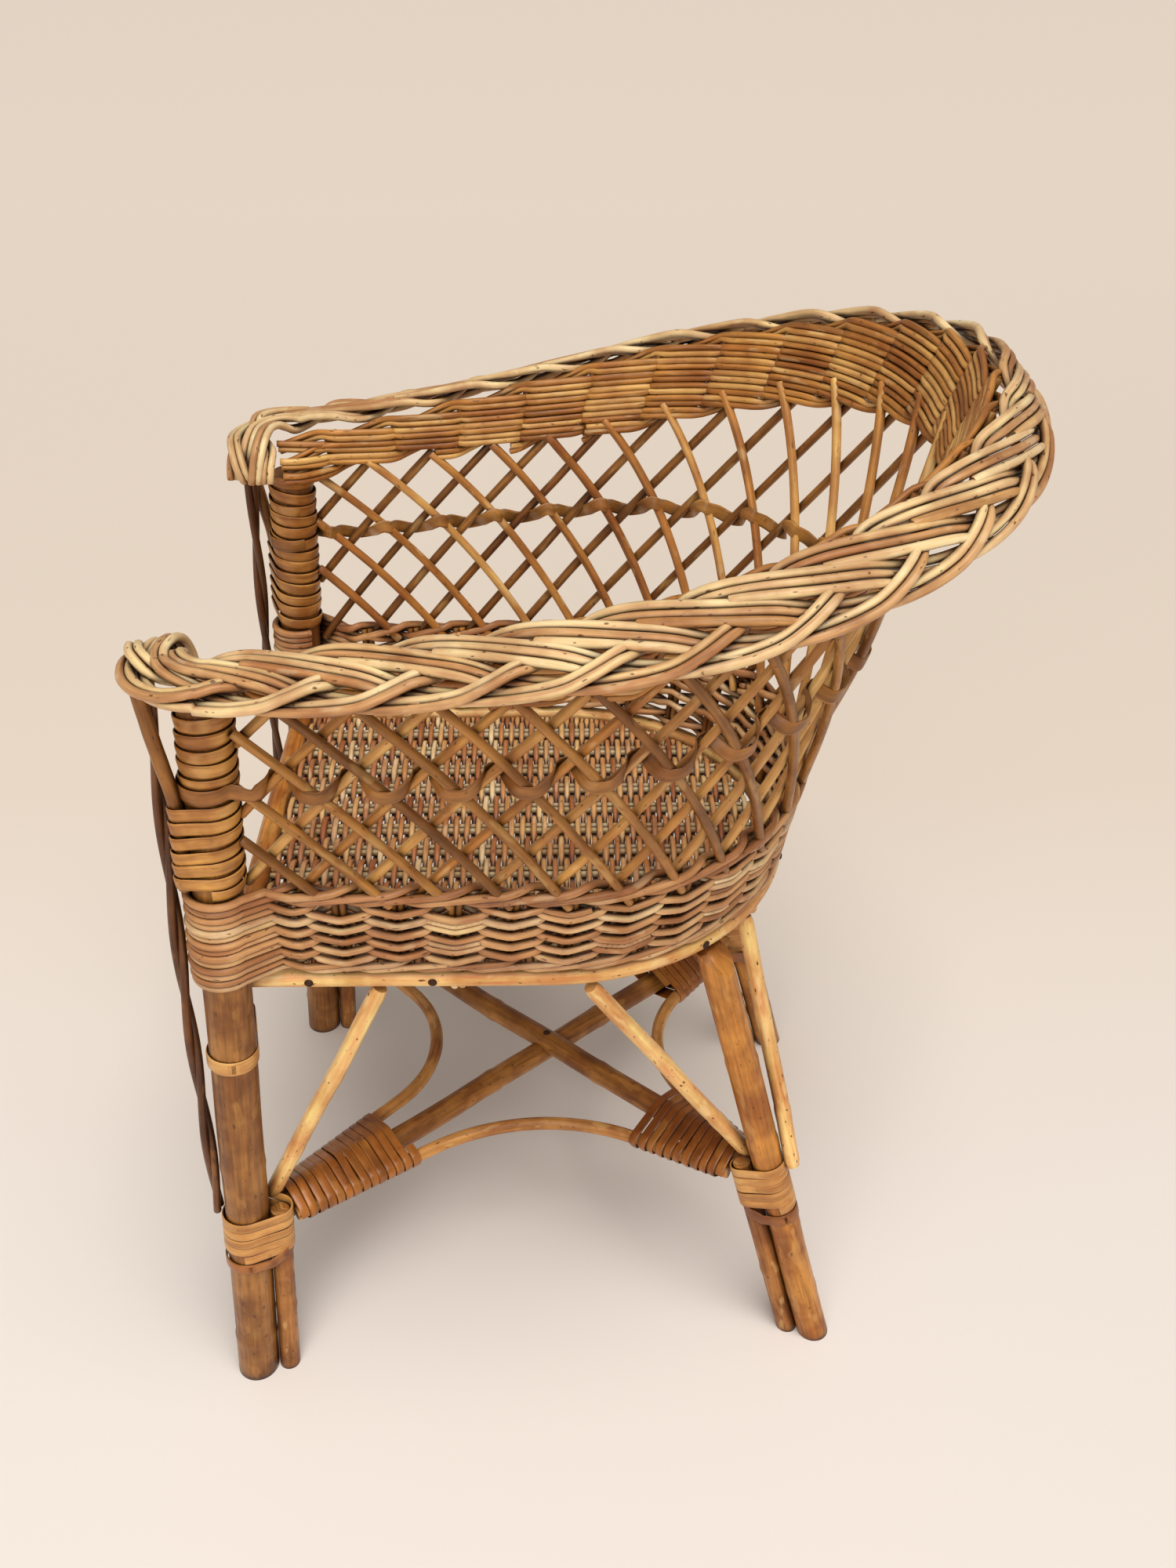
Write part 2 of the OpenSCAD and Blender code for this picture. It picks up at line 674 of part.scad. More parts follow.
turns_low = band_z(0) + 1.5;

module band_turns(s) {
    color(willow_color) winding(s, turns_low, band_count - 1, band_pitch,
        post_d / 2 + gap + band_d / 2, round_section(band_d / 2, 5), band_d);
}

module post_wrap(s) {
    low = turns_low + (band_count - 1) * band_pitch + band_d / 2 + gap + skein_w / 2 + 1.5;
    turns = floor((post_h - low - skein_w / 2) / skein_pitch);
    color(skein_color) winding(s, low, turns, skein_pitch,
        post_d / 2 + gap + skein_t / 2, flat_section(skein_w, skein_t), skein_w);
}

// Rows under the rim. The top ones run all round, and more fit in as the rim rises.
wale_first = 10.2;
wale_pitch = wale_h + gap;
wale_front_rows = 3;
wale_back_rows = 6;
wale_growth = 60;
function wale_rows_at(t) = wale_front_rows
    + (wale_back_rows - wale_front_rows) * min(1, min(t, last_step - t) / wale_growth);
function wale_z(t, row) = rim_at(t).z - wale_first - wale_pitch * row;
function lowest_row(t) = wale_rows_at(t) - 1;
function growth_step(row) = wale_growth * (row + 2 - wale_front_rows)
    / (wale_back_rows - wale_front_rows);
row_step = 7;
row_sides = 5;

module wale_row(t_from, row) {
    count = ceil((last_step - 2 * t_from) / row_step);
    steps = [for (i = [0:count]) t_from + (last_step - 2 * t_from) * i / count];
    heights = [for (t = steps) wale_z(t, row < 0 ? lowest_row(t) : row)];
    path = [for (i = [0:count]) wall_at(steps[i], heights[i])];
    ups = [for (i = [0:count]) wall_normal(steps[i], heights[i])];
    section = [for (p = round_section(1, row_sides)) [p.x * wale_h / 2, p.y * wale_t / 2]];
    loft(sweep_rings(path, ups, section));
}

// Rows two by two: the two at the top, the two below them, and the rest down to the lowest
module wale_rows(pair) {
    color(willow_color) {
        if (pair == 1) for (row = [0, 1]) wale_row(0, row);
        if (pair == 2) for (row = [2, 3]) wale_row(growth_step(row), row);
        if (pair == 3) {
            for (row = [4:wale_back_rows - 2]) wale_row(growth_step(row), row);
            wale_row(0, -1);
        }
    }
}

// A post's top lies under the lowest row at the arm's front
post_h = wale_z(0, lowest_row(0)) - wale_h / 2 - post_under_rows;

// Lattice rods. One family leans one way outside, the other leans the other way inside.
lattice_first = 17.3;
lattice_offset = (lattice_d + gap) / 2;
// How far a rod's end sits in the hollow beside the row above or below it
rod_seat = 0.8;
rod_rings = 4;
rod_sides = 6;
probes = 60;
lattice_low = band_top + gap + lattice_d / 2 - rod_seat;
function lattice_high(t) =
    wale_z(t, lowest_row(t)) - wale_h / 2 - gap - lattice_d / 2 + rod_seat;
function twist_z(t) = rim_h - twist_under_rim + twist_rise * (rim_at(t).z - rim_h);
function rod_z(t, q) = lattice_low + q * (lattice_high(t) - lattice_low);
function twist_share(t) = (twist_z(t) - lattice_low) / (lattice_high(t) - lattice_low);
function rod_step(t_mid, lean, q) = t_mid + lean * lattice_span * lattice_step
    * (q - twist_share(t_mid));

// A rod may run only where it is clear of the wrapped posts
post_clear = post_d / 2 + gap + skein_t + 0.7 * lattice_d;
function rod_fits(t, z) = t > 0 && t < last_step
    && wall_at(t, z).y > post_at(z).y + post_clear;
function rod_shares(t_mid, lean) = [for (i = [0:probes]) let (q = i / probes,
    t = rod_step(t_mid, lean, q)) if (rod_fits(t, rod_z(t, q))) q];

module lattice_rod(t_mid, lean, offset) {
    shares = rod_shares(t_mid, lean);
    if (len(shares) > probes / 6) {
        low = shares[0];
        high = shares[len(shares) - 1];
        steps = [for (i = [0:rod_rings]) let (q = low + (high - low) * i / rod_rings)
            [rod_step(t_mid, lean, q), q]];
        spots = [for (s = steps) [s.x, rod_z(s.x, s.y)]];
        ups = [for (s = spots) wall_normal(s.x, s.y)];
        path = [for (i = [0:rod_rings]) wall_at(spots[i].x, spots[i].y) + ups[i] * offset];
        loft(sweep_rings(path, ups, round_section(lattice_d / 2, rod_sides)));
    }
}

lattice_reach = ceil(lattice_span);
lattice_count = floor((last_step - lattice_first) / lattice_step);

module lattice_outer() {
    color(dark_willow)
        for (i = [-lattice_reach:lattice_count + lattice_reach])
            lattice_rod(lattice_first + i * lattice_step, -1, lattice_offset);
}

module lattice_inner() {
    color(willow_color)
        for (i = [-lattice_reach:lattice_count + lattice_reach])
            lattice_rod(lattice_first + (i + 0.5) * lattice_step, 1, -lattice_offset);
}

// Twisted skein row: in front of each outer rod and behind each inner one
twist_w = 5;
twist_out = lattice_offset + lattice_d / 2 + 1.5 * gap + skein_t / 2;
twist_flat = 0.17;
twist_sway = 1.5;
twist_from = 7;

module twist_row() {
    spots = [for (i = [-1:lattice_count + 1]) for (side = [1, -1]) for (edge = [-1, 1])
        let (t = lattice_first + lattice_step * (i + (side > 0 ? 0 : 0.5) + edge * twist_flat))
        if (t > twist_from && t < last_step - twist_from)
            [t, twist_z(t) - side * twist_sway, side * twist_out]];
    ups = [for (p = spots) wall_normal(p.x, p.y)];
    path = [for (i = [0:len(spots) - 1]) wall_at(spots[i].x, spots[i].y) + ups[i] * spots[i].z];
    color(skein_color) loft(sweep_rings(path, ups, flat_section(twist_w, skein_t)));
}

// Plait of three strands on the rim. Its middle line leaves the rim's inner edge near the
// arm's front, turns inwards round the front and curls down at the inner end.
turn_r = 24;
curl_r = 20;
turn_y = post_y + 18.6;
plait_speed = 2.8;
turn_steps = turn_r * PI / 2 / plait_speed;
curl_steps = curl_r * PI / 2 / plait_speed;
turn_start = side_steps * (turn_y - rim_front_y) / (rim_side_y - rim_front_y);
plait_swing = (plait_w - strand_w) / 2;
plait_wave = 4.3;
plait_rings = 4.1;

function tilt_at(t) = plait_tilt_front
    + (plait_tilt_back - plait_tilt_front) * min(t, last_step - t) / (last_step / 2);
function rim_out(t) = let (d = rim_xy(t + 1) - rim_xy(t - 1)) unit([d.y, -d.x, 0]);

// Each frame of the plait is [middle, across, up]
function plait_side(t) =
    let (out = rim_out(t), b = tilt_at(t), across = [out.x * cos(b), out.y * cos(b), -sin(b)],
         up = [out.x * sin(b), out.y * sin(b), cos(b)])
    [rim_at(t) + across * plait_w / 2, across, up];
function plait_turn(f) =
    let (start = plait_side(turn_start)[0], a = 90 * f, out = [cos(a), -sin(a), 0])
    [[start.x - turn_r, start.y, start.z] + out * turn_r, out, [0, 0, 1]];
function plait_curl(f) =
    let (start = plait_turn(1)[0], a = 90 * f)
    [start + [-curl_r * sin(a), 0, curl_r * (cos(a) - 1)], [0, -1, 0], [-sin(a), 0, cos(a)]];
function half_frame(t) = t > turn_start ? plait_side(t)
    : t > turn_start - turn_steps ? plait_turn((turn_start - t) / turn_steps)
    : plait_curl(min(1, (turn_start - turn_steps - t) / curl_steps));
function frame_at(t) = t <= last_step / 2 ? half_frame(t)
    : let (f = half_frame(last_step - t)) [flip(f[0]), flip(f[1]), flip(f[2])];

plait_from = turn_start - turn_steps - curl_steps;
plait_count = ceil((last_step - 2 * plait_from) / plait_rings);

module plait_strand(lead) {
    frames = [for (i = [0:plait_count])
        frame_at(plait_from + (last_step - 2 * plait_from) * i / plait_count)];
    path = [for (i = [0:plait_count])
        let (t = (last_step - 2 * plait_from) * i / plait_count,
             a = 360 * t * plait_speed / plait_cycle + lead, f = frames[i])
        f[0] + f[1] * plait_swing * sin(a) - f[2] * plait_wave * sin(2 * a)];
    loft(sweep_rings(path, [for (f = frames) f[2]], strand_section(strand_w, strand_t)));
}

module rim_strand(number) {
    color(willow_color) plait_strand(120 * (number - 1));
}

// Rods that run down the front of a post from the arm to the leg binding. They lie on the
// post below, bend out over the band's turns and go on to the plait.
arm_rod_d = 4.6;
arm_rod_low = binding_z + binding_turns * skein_pitch / 2 + skein_w;
arm_rod_bend = band_z(0) - band_d;
arm_rod_under = 10;
arm_rod_high = rim_h - plait_w * sin(plait_tilt_front) / 2 - plait_wave - arm_rod_under;
arm_rod_near = post_d / 2 + gap + arm_rod_d / 2;
arm_rod_out = turns_r + gap + arm_rod_d / 2;
arm_rod_far = arm_rod_out + 2;
arm_rod_thin = 0.2;
arm_rod_in = 1;

module arm_rods(s) {
    color(dark_willow) on_side(s)
        for (k = [-1, 1]) {
            x = k * (arm_rod_d + gap) / 2;
            low = post_at(arm_rod_low) + [x, -arm_rod_near, 0];
            bend = post_at(arm_rod_bend) + [x, -arm_rod_out, 0];
            high = post_at(arm_rod_high) + [x, -arm_rod_far, 0];
            stick(low, bend, arm_rod_d);
            stick(bend - unit(bend - low) * arm_rod_in, high, arm_rod_d - arm_rod_thin);
        }
}

// Nails through the hoop and one at the crossing of the bars
nail_d = 4.4;
nail_h = 0.9;
side_nails = [38, 97, 170];
back_nails = [38, 78];

module nail_head() {
    cylinder(h = nail_h, d1 = nail_d, d2 = nail_d / 2, $fn = 24);
}

module hoop_nails() {
    color("#4a3a2c") {
        for (s = [-1, 1]) on_side(s) {
            for (y = side_nails)
                if (post_y + y < seat_y)
                    translate([seat_r + hoop_d / 2, post_y + y, seat_h])
                        rotate([0, 90, 0]) nail_head();
            for (a = back_nails)
                translate(on_hoop(a, seat_h)) rotate([0, 0, a])
                    translate([hoop_d / 2, 0, 0]) rotate([0, 90, 0]) nail_head();
        }
        translate([crossing.x, crossing.y, bar_z + (bar_step + bar_d) / 2]) nail_head();
    }
}

front_post(1);  // front_post_left
front_post(-1);  // front_post_right
rear_leg(1);  // rear_leg_left
rear_leg(-1);  // rear_leg_right
foot_stick(1, true);  // foot_stick_front_left
foot_stick(-1, true);  // foot_stick_front_right
foot_stick(1, false);  // foot_stick_rear_left
foot_stick(-1, false);  // foot_stick_rear_right
cross_bar_upper();
cross_bar_lower();
bow_front();
bow_back();
bow_side(1);  // bow_left
bow_side(-1);  // bow_right
corner_wrap(1, true);  // corner_wrap_front_left
corner_wrap(-1, true);  // corner_wrap_front_right
corner_wrap(1, false);  // corner_wrap_rear_left
corner_wrap(-1, false);  // corner_wrap_rear_right
leg_binding(1, true);  // leg_binding_front_left
leg_binding(-1, true);  // leg_binding_front_right
leg_binding(1, false);  // leg_binding_rear_left
leg_binding(-1, false);  // leg_binding_rear_right
front_brace(1);  // front_brace_left
front_brace(-1);  // front_brace_right
rear_side_brace(1);  // rear_side_brace_left
rear_side_brace(-1);  // rear_side_brace_right
rear_back_brace(1);  // rear_back_brace_left
rear_back_brace(-1);  // rear_back_brace_right
seat_hoop();
under_seat_rod();
front_rail();
seat_stakes();
seat_weavers();
apron_rods();
apron_strap(1);  // apron_strap_left
apron_strap(-1);  // apron_strap_right
band_rows(1);  // band_rows_1
band_rows(2);  // band_rows_2
band_rows(3);  // band_rows_3
band_rows(4);  // band_rows_4
band_rows(5);  // band_rows_5
band_turns(1);  // band_turns_left
band_turns(-1);  // band_turns_right
post_wrap(1);  // post_wrap_left
post_wrap(-1);  // post_wrap_right
lattice_outer();
lattice_inner();
twist_row();
wale_rows(1);  // wale_rows_1
wale_rows(2);  // wale_rows_2
wale_rows(3);  // wale_rows_3
rim_strand(1);  // rim_strand_1
rim_strand(2);  // rim_strand_2
rim_strand(3);  // rim_strand_3
arm_rods(1);  // arm_rods_left
arm_rods(-1);  // arm_rods_right
hoop_nails();
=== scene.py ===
import bpy
import math
import random
from mathutils import Matrix, Vector, noise


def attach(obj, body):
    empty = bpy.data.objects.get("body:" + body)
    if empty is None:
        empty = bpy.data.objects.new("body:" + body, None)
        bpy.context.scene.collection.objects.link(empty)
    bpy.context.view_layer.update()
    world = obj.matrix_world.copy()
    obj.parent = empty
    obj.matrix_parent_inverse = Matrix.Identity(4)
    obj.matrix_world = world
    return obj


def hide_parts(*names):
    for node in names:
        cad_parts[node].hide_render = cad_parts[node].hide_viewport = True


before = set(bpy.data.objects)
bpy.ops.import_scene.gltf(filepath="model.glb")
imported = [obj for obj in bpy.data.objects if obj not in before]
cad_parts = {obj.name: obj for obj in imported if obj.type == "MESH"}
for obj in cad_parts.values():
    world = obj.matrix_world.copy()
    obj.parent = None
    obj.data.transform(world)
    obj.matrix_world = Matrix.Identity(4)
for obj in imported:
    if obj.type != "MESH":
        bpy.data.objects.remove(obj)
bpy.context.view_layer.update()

print("frame loaded:", len(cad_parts), "nodes")
draw = random.Random(4871)
mm = 0.001
finishes = {}
sideNames = {1: "left", -1: "right"}

# sizes, in millimetres
seat = {"height": 275, "radius": 119, "backY": -23.5, "hoop": 10, "rail": 12}
post = {"thick": 23, "out": 9.3, "y": -177.1, "top": 431, "splayX": 0.041, "splayY": 0.0586}
leg = {"thick": 17.2, "angle": 41, "top": 266, "splayX": 0.109, "splayY": 0.259}
rim = {"frontX": 122, "sideX": 147.3, "frontY": -179.5, "sideY": 18.5, "backY": 179.1,
       "height": 455.5, "rise": 86, "swing": 1.25, "power": 1.41}
# places along the wall and rim are counted in steps, from the left arm's front round the back to the right
wall = {"bulge": 5, "flare": 1.6, "sideSteps": 68, "lastStep": 316, "footY": -158.5,
        "bandTop": 332.3, "twist": 392, "twistRise": 0.3, "firstRow": 10.2}
lattice = {"first": 17.3, "step": 12.9, "span": 2.84, "rodR": 2.4, "offset": 2.5}


def cosD(a): return math.cos(math.radians(a))
def sinD(a): return math.sin(math.radians(a))
def mix(a, b, f): return a + (b - a) * f
def clamp(v, low, high): return max(low, min(high, v))
def spread(a, b, count): return [mix(a, b, i / count) for i in range(count + 1)]
def flip(p): return Vector((-p.x, p.y, p.z))
def both(point, side): return point if side > 0 else flip(point)
def heading(a): return Vector((cosD(a), sinD(a), 0))
def ripple(x, y, z=0): return noise.noise(Vector((x, y, z)))


def postAt(z):
    d = seat["height"] - z
    return Vector((seat["radius"] + post["out"] + post["splayX"] * d, post["y"] - post["splayY"] * d, z))


def legAt(z):
    d = seat["height"] - z
    return Vector((seat["radius"] * cosD(leg["angle"]) + leg["splayX"] * d,
                   seat["backY"] + seat["radius"] * sinD(leg["angle"]) + leg["splayY"] * d, z))


def onHoop(angle, z, grow=0):
    r = seat["radius"] + grow
    return Vector((r * cosD(angle), seat["backY"] + r * sinD(angle), z))


def stepsFromArm(t): return min(t, wall["lastStep"] - t)
def sideShare(t): return clamp(stepsFromArm(t) / wall["sideSteps"], -0.1, 1)
def backTurn(t): return clamp(t - wall["sideSteps"], 0, 180)
def sideOf(t): return 1 if t < wall["lastStep"] / 2 else -1


def footAt(t):
    f, a = sideShare(t), backTurn(t)
    if f < 1:
        return Vector((sideOf(t) * seat["radius"], mix(wall["footY"], seat["backY"], f)))
    return onHoop(a, 0)


def rimAt(t):
    f, a = sideShare(t), backTurn(t)
    if f < 1:
        g = rim["swing"] * f - (rim["swing"] - 1) * max(f, 0) ** 5
        x, y = sideOf(t) * mix(rim["frontX"], rim["sideX"], g), mix(rim["frontY"], rim["sideY"], f)
    else:
        x, y = rim["sideX"] * cosD(a), rim["sideY"] + (rim["backY"] - rim["sideY"]) * sinD(a)
    rise = max(0, (y - rim["frontY"]) / (rim["backY"] - rim["frontY"]))
    return Vector((x, y, rim["height"] + rim["rise"] * rise ** rim["power"]))


def wallAt(t, z):
    top, foot, a = rimAt(t), footAt(t), backTurn(t)
    f = clamp((z - seat["height"]) / (top.z - seat["height"]), 0, 1)
    swell = wall["bulge"] * 4 * f * (1 - f)
    return Vector((foot.x + (top.x - foot.x) * f ** wall["flare"] + cosD(a) * swell,
                   foot.y + (top.y - foot.y) * f ** wall["flare"] + sinD(a) * swell, z))


def wallOut(t, z):
    return (wallAt(t + 1, z) - wallAt(t - 1, z)).cross(wallAt(t, z + 2) - wallAt(t, z - 2)).normalized()


def onWall(t, z, out): return wallAt(t, z) + wallOut(t, z) * out


# making meshes

def mode(name): bpy.ops.object.mode_set(mode=name)
def selectAll(): bpy.ops.mesh.select_all(action="SELECT")


def deselectAll():
    if bpy.context.object and bpy.context.object.mode != "OBJECT":
        mode("OBJECT")
    bpy.ops.object.select_all(action="DESELECT")


def named(name):
    piece = bpy.context.object
    piece.name = piece.data.name = name
    return piece


def closeEdit():
    # all faces outwards, and back to object mode
    selectAll()
    bpy.ops.mesh.normals_make_consistent(inside=False)
    mode("OBJECT")


def curvePoints(points, spacing):
    # a smooth line through the given points, cut into steps of about one spacing
    out = []
    last = len(points) - 1
    for i in range(last):
        a, b = points[i], points[i + 1]
        before = points[i - 1] if i else a * 2 - b
        after = points[i + 2] if i + 2 <= last else b * 2 - a
        steps = max(1, round((b - a).length / spacing))
        for k in range(steps):
            f = k / steps
            out.append(0.5 * (2 * a + (b - before) * f + (2 * before - 5 * a + 4 * b - after) * f ** 2
                              + (3 * a - before - 3 * b + after) * f ** 3))
    return out + [points[last].copy()]


def runLengths(points):
    lengths = [0.0]
    for a, b in zip(points, points[1:]):
        lengths.append(lengths[-1] + (b - a).length)
    return lengths


def rollGrid(path, radii, sides, flat=None, ups=None):
    # one grid, rolled round a path into a rod, or into a flat strip where flat gives (width, thickness)
    count = len(path)
    bpy.ops.mesh.primitive_grid_add(x_subdivisions=sides, y_subdivisions=count - 1, size=1)
    piece = bpy.context.object
    coords = []
    tangent = (path[1] - path[0]).normalized()
    up = ups[0] if ups else tangent.orthogonal()
    for i in range(count):
        ahead = path[min(i + 1, count - 1)] - path[max(i - 1, 0)]
        ahead = ahead.normalized() if ahead.length > 1e-9 else tangent
        if ups:
            side = ahead.cross(ups[i])
        else:
            up = up - ahead * up.dot(ahead)
            side = ahead.cross(up)
        side = side.normalized() if side.length > 1e-9 else tangent.orthogonal()
        up, tangent = side.cross(ahead), ahead
        for j in range(sides + 1):
            a = 2 * math.pi * (j % sides) / sides
            x, y = radii[i] * math.cos(a), radii[i] * math.sin(a)
            if flat:
                # a rounded slab: flat faces and quickly turning edges
                c, s = math.cos(a), math.sin(a)
                x = math.copysign(abs(c) ** 0.35, c) * flat[0] / 2 * radii[i]
                y = math.copysign(abs(s) ** 0.8, s) * flat[1] / 2
            coords.append((path[i] + side * x + up * y) * mm)
    for vertex, spot in zip(piece.data.vertices, coords):
        vertex.co = spot
    # the map runs along the rod in metres, so grain keeps one scale on every rod
    across = (flat[0] * 2.4 if flat else 2 * math.pi * radii[0]) * mm
    shift = draw.random() * 3
    lengths = runLengths(path)
    for loop, mapped in zip(piece.data.loops, piece.data.uv_layers.active.data):
        row, column = divmod(loop.vertex_index, sides + 1)
        mapped.uv = (lengths[row] * mm + shift, column / sides * across)
    return piece


def joinRods(name, grids):
    deselectAll()
    for g in grids:
        g.select_set(True)
    bpy.context.view_layer.objects.active = grids[0]
    if len(grids) > 1:
        bpy.ops.object.join()
    piece = named(name)
    mode("EDIT")
    selectAll()
    bpy.ops.mesh.remove_doubles(threshold=0.000002)
    # the open ends are closed
    bpy.ops.mesh.select_all(action="DESELECT")
    bpy.ops.mesh.select_non_manifold(extend=False, use_wire=False, use_multi_face=False,
                                     use_non_contiguous=False, use_verts=False)
    bpy.ops.mesh.fill_holes(sides=0)
    closeEdit()
    bpy.ops.object.shade_smooth_by_angle(angle=math.radians(48))
    return piece


cutEnd = {"length": 0.18, "radius": 0.86}


def rods(name, lines, sides=8, spacing=None):
    # lines holds (points, radius) for each rod, where the radius may follow the share of its length
    deselectAll()
    grids = []
    for points, r in lines:
        path = curvePoints(points, spacing) if spacing else points
        count = len(path)
        radii = [r(i / (count - 1)) for i in range(count)] if callable(r) else [r] * count
        # a cut end is slightly rounded
        first, last = (path[0] - path[1]).normalized(), (path[-1] - path[-2]).normalized()
        path = ([path[0] + first * radii[0] * cutEnd["length"]] + path
                + [path[-1] + last * radii[-1] * cutEnd["length"]])
        radii = [radii[0] * cutEnd["radius"]] + radii + [radii[-1] * cutEnd["radius"]]
        grids.append(rollGrid(path, radii, sides))
    return joinRods(name, grids)


def wavy(r, seed, size=0.06): return lambda f: r * (1 + size * ripple(f * 9, seed))


def unlike(r, least, more, size=0.12):
    # a rod's radius, which differs from rod to rod as well as along it
    return wavy(r * (least + more * draw.random()), draw.random() * 60, size)


strip = {"sides": 10, "uneven": 0.12}


def strips(name, lines, size):
    # lines holds (points, ups) for each flat strip, which is cut a little wider here and narrower there
    deselectAll()
    grids = []
    for points, ups in lines:
        seed = draw.random() * 70
        widths = [1 + strip["uneven"] * ripple(i / 13, seed) for i in range(len(points))]
        grids.append(rollGrid(points, widths, strip["sides"], (size["width"], size["thick"]), ups))
    return joinRods(name, grids)


def placed(piece, finishName, slotName, *nodes):
    piece.data.materials.clear()
    piece.data.materials.append(finishes[finishName])
    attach(piece, "root")
    if nodes:
        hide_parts(*nodes)


# materials

def colour(hexValue):
    parts = [int(hexValue[i:i + 2], 16) / 255 for i in (1, 3, 5)]
    return [p / 12.92 if p <= 0.04045 else ((p + 0.055) / 1.055) ** 2.4 for p in parts] + [1.0]


def fill(tree, socket, value):
    if isinstance(value, bpy.types.NodeSocket):
        tree.links.new(value, socket)
    else:
        socket.default_value = value


def node(tree, kind, inputs, **settings):
    # adds a node, sets its properties, and sets or links its sockets
    made = tree.nodes.new(kind)
    for key, value in settings.items():
        setattr(made, key, value)
    for key, value in inputs.items():
        fill(tree, made.inputs[key], value)
    return made


def ramp(tree, factor, stops):
    made = node(tree, "ShaderNodeValToRGB", {"Fac": factor})
    elements = made.color_ramp.elements
    while len(elements) < len(stops):
        elements.new(0.5)
    for element, (place, shade) in zip(elements, stops):
        element.position = place
        element.color = colour(shade) if isinstance(shade, str) else (shade, shade, shade, 1)
    return made.outputs["Color"]


def blend(tree, kind, factor, a, b):
    return node(tree, "ShaderNodeMix", {0: factor, 6: a, 7: b}, data_type="RGBA", blend_type=kind,
                clamp_result=True).outputs[2]


def cloud(tree, place, scale, detail, roughness=0.5):
    return node(tree, "ShaderNodeTexNoise", {"Vector": place, "Scale": scale, "Detail": detail,
                                             "Roughness": roughness}).outputs["Fac"]


def streaks(tree, place, scale, detail, roughness=0.5):
    stretched = node(tree, "ShaderNodeMapping", {"Vector": place, "Scale": scale}).outputs[0]
    return cloud(tree, stretched, 1, detail, roughness)


# one of the looks sets how much shade is painted into the narrow places between rods
usualLook = {"grain": 0.55, "mottle": 0.5, "patches": 0.3, "flecks": 0.6, "paintedShade": 0.8, "reach": 0.008,
             "rough": 0.38, "bump": 0.35, "gloss": 0.3, "coat": 0.09, "places": (0, 0.35, 0.7, 1)}
poleLook = {"grain": 0.6, "mottle": 0.6, "paintedShade": 0.7, "reach": 0.012, "rough": 0.4, "bump": 0.4,
            "places": (0, 0.5, 1)}
skeinLook = {"flecks": 0.35, "reach": 0.004, "rough": 0.36, "bump": 0.45, "coat": 0.1, "places": (0, 0.5, 1)}
seatLook = {"reach": 0.006, "rough": 0.5, "bump": 0.3, "gloss": 0.4, "coat": 0.05}


def finish(name, tones, stain, patchShade, fleckShade, *looks):
    # a stick or strip of plant: rods differ in tone, the grain runs along them, and bark leaves flecks
    look = dict(usualLook)
    for differences in looks:
        look.update(differences)
    made = bpy.data.materials.new(name)
    made.use_nodes = True
    tree = made.node_tree
    tree.nodes.clear()
    place = node(tree, "ShaderNodeTexCoord", {}).outputs
    island = node(tree, "ShaderNodeNewGeometry", {}).outputs["Random Per Island"]
    base = ramp(tree, island, list(zip(look["places"], tones)))
    # long soft streaks along the rod, from its own map in metres
    grain = streaks(tree, place["UV"], (28, 420, 1), 5, 0.6)
    base = blend(tree, "OVERLAY", look["grain"], base, ramp(tree, grain, [(0.3, 0.18), (0.7, 0.86)]))
    # mottling a few centimetres long, darker and redder where the varnish is thick
    mottle = cloud(tree, place["Object"], 38, 3, 0.55)
    strength = ramp(tree, mottle, [(0.38, look["mottle"]), (0.62, 0.0)])
    base = blend(tree, "MULTIPLY", strength, base, colour(stain))
    # pale patches where bark has come off, and dark flecks of it
    patch = streaks(tree, place["UV"], (45, 130, 1), 2)
    strength = ramp(tree, patch, [(0.60, 0.0), (0.66, look["patches"])])
    base = blend(tree, "MIX", strength, base, colour(patchShade))
    fleck = streaks(tree, place["UV"], (210, 520, 1), 1)
    strength = ramp(tree, fleck, [(0.68, 0.0), (0.73, look["flecks"])])
    base = blend(tree, "MIX", strength, base, colour(fleckShade))
    # painted shade: the colour is darkened in the narrow places between rods, where shade falls
    hollow = node(tree, "ShaderNodeAmbientOcclusion", {"Distance": look["reach"]}, samples=6).outputs["AO"]
    strength = ramp(tree, hollow, [(0.25, look["paintedShade"]), (0.82, 0.0)])
    base = blend(tree, "MULTIPLY", strength, base, colour("#3c200e"))
    rough = ramp(tree, mottle, [(0.35, look["rough"] + 0.08), (0.65, look["rough"] - 0.06)])
    rise = node(tree, "ShaderNodeMath", {0: patch, 1: 0.6, 2: grain}, operation="MULTIPLY_ADD").outputs[0]
    bump = node(tree, "ShaderNodeBump", {"Strength": look["bump"], "Distance": 0.0006, "Height": rise}).outputs[0]
    shader = node(tree, "ShaderNodeBsdfPrincipled", {
        "Base Color": base, "Roughness": rough, "Normal": bump, "IOR": 1.5, "Specular IOR Level": look["gloss"],
        "Coat Weight": look["coat"], "Coat Roughness": 0.22})
    node(tree, "ShaderNodeOutputMaterial", {"Surface": shader.outputs[0]})
    finishes[name] = made


# Rattan pole: orange brown under old varnish, streaked along the grain
finish("varnishedPole", ("#b0702c", "#be8038", "#a46426"), "#a25f22", "#d8a45e", "#55290e",
       poleLook, {"coat": 0.1})
# Rattan pole of the posts and bars: chestnut brown under old varnish
finish("chestnutPole", ("#93602a", "#a57034", "#875222"), "#8a5220", "#c48c48", "#45200a",
       poleLook, {"patches": 0.25, "coat": 0.12})
# Peeled pole of the hoop and braces: pale gold, scraped, with dark flecks of bark
finish("goldenPole", ("#dfae6a", "#eabd7a", "#d8a25c"), "#c4894a", "#f4d79c", "#55290e",
       poleLook, {"patches": 0.4, "flecks": 0.9, "reach": 0.010})
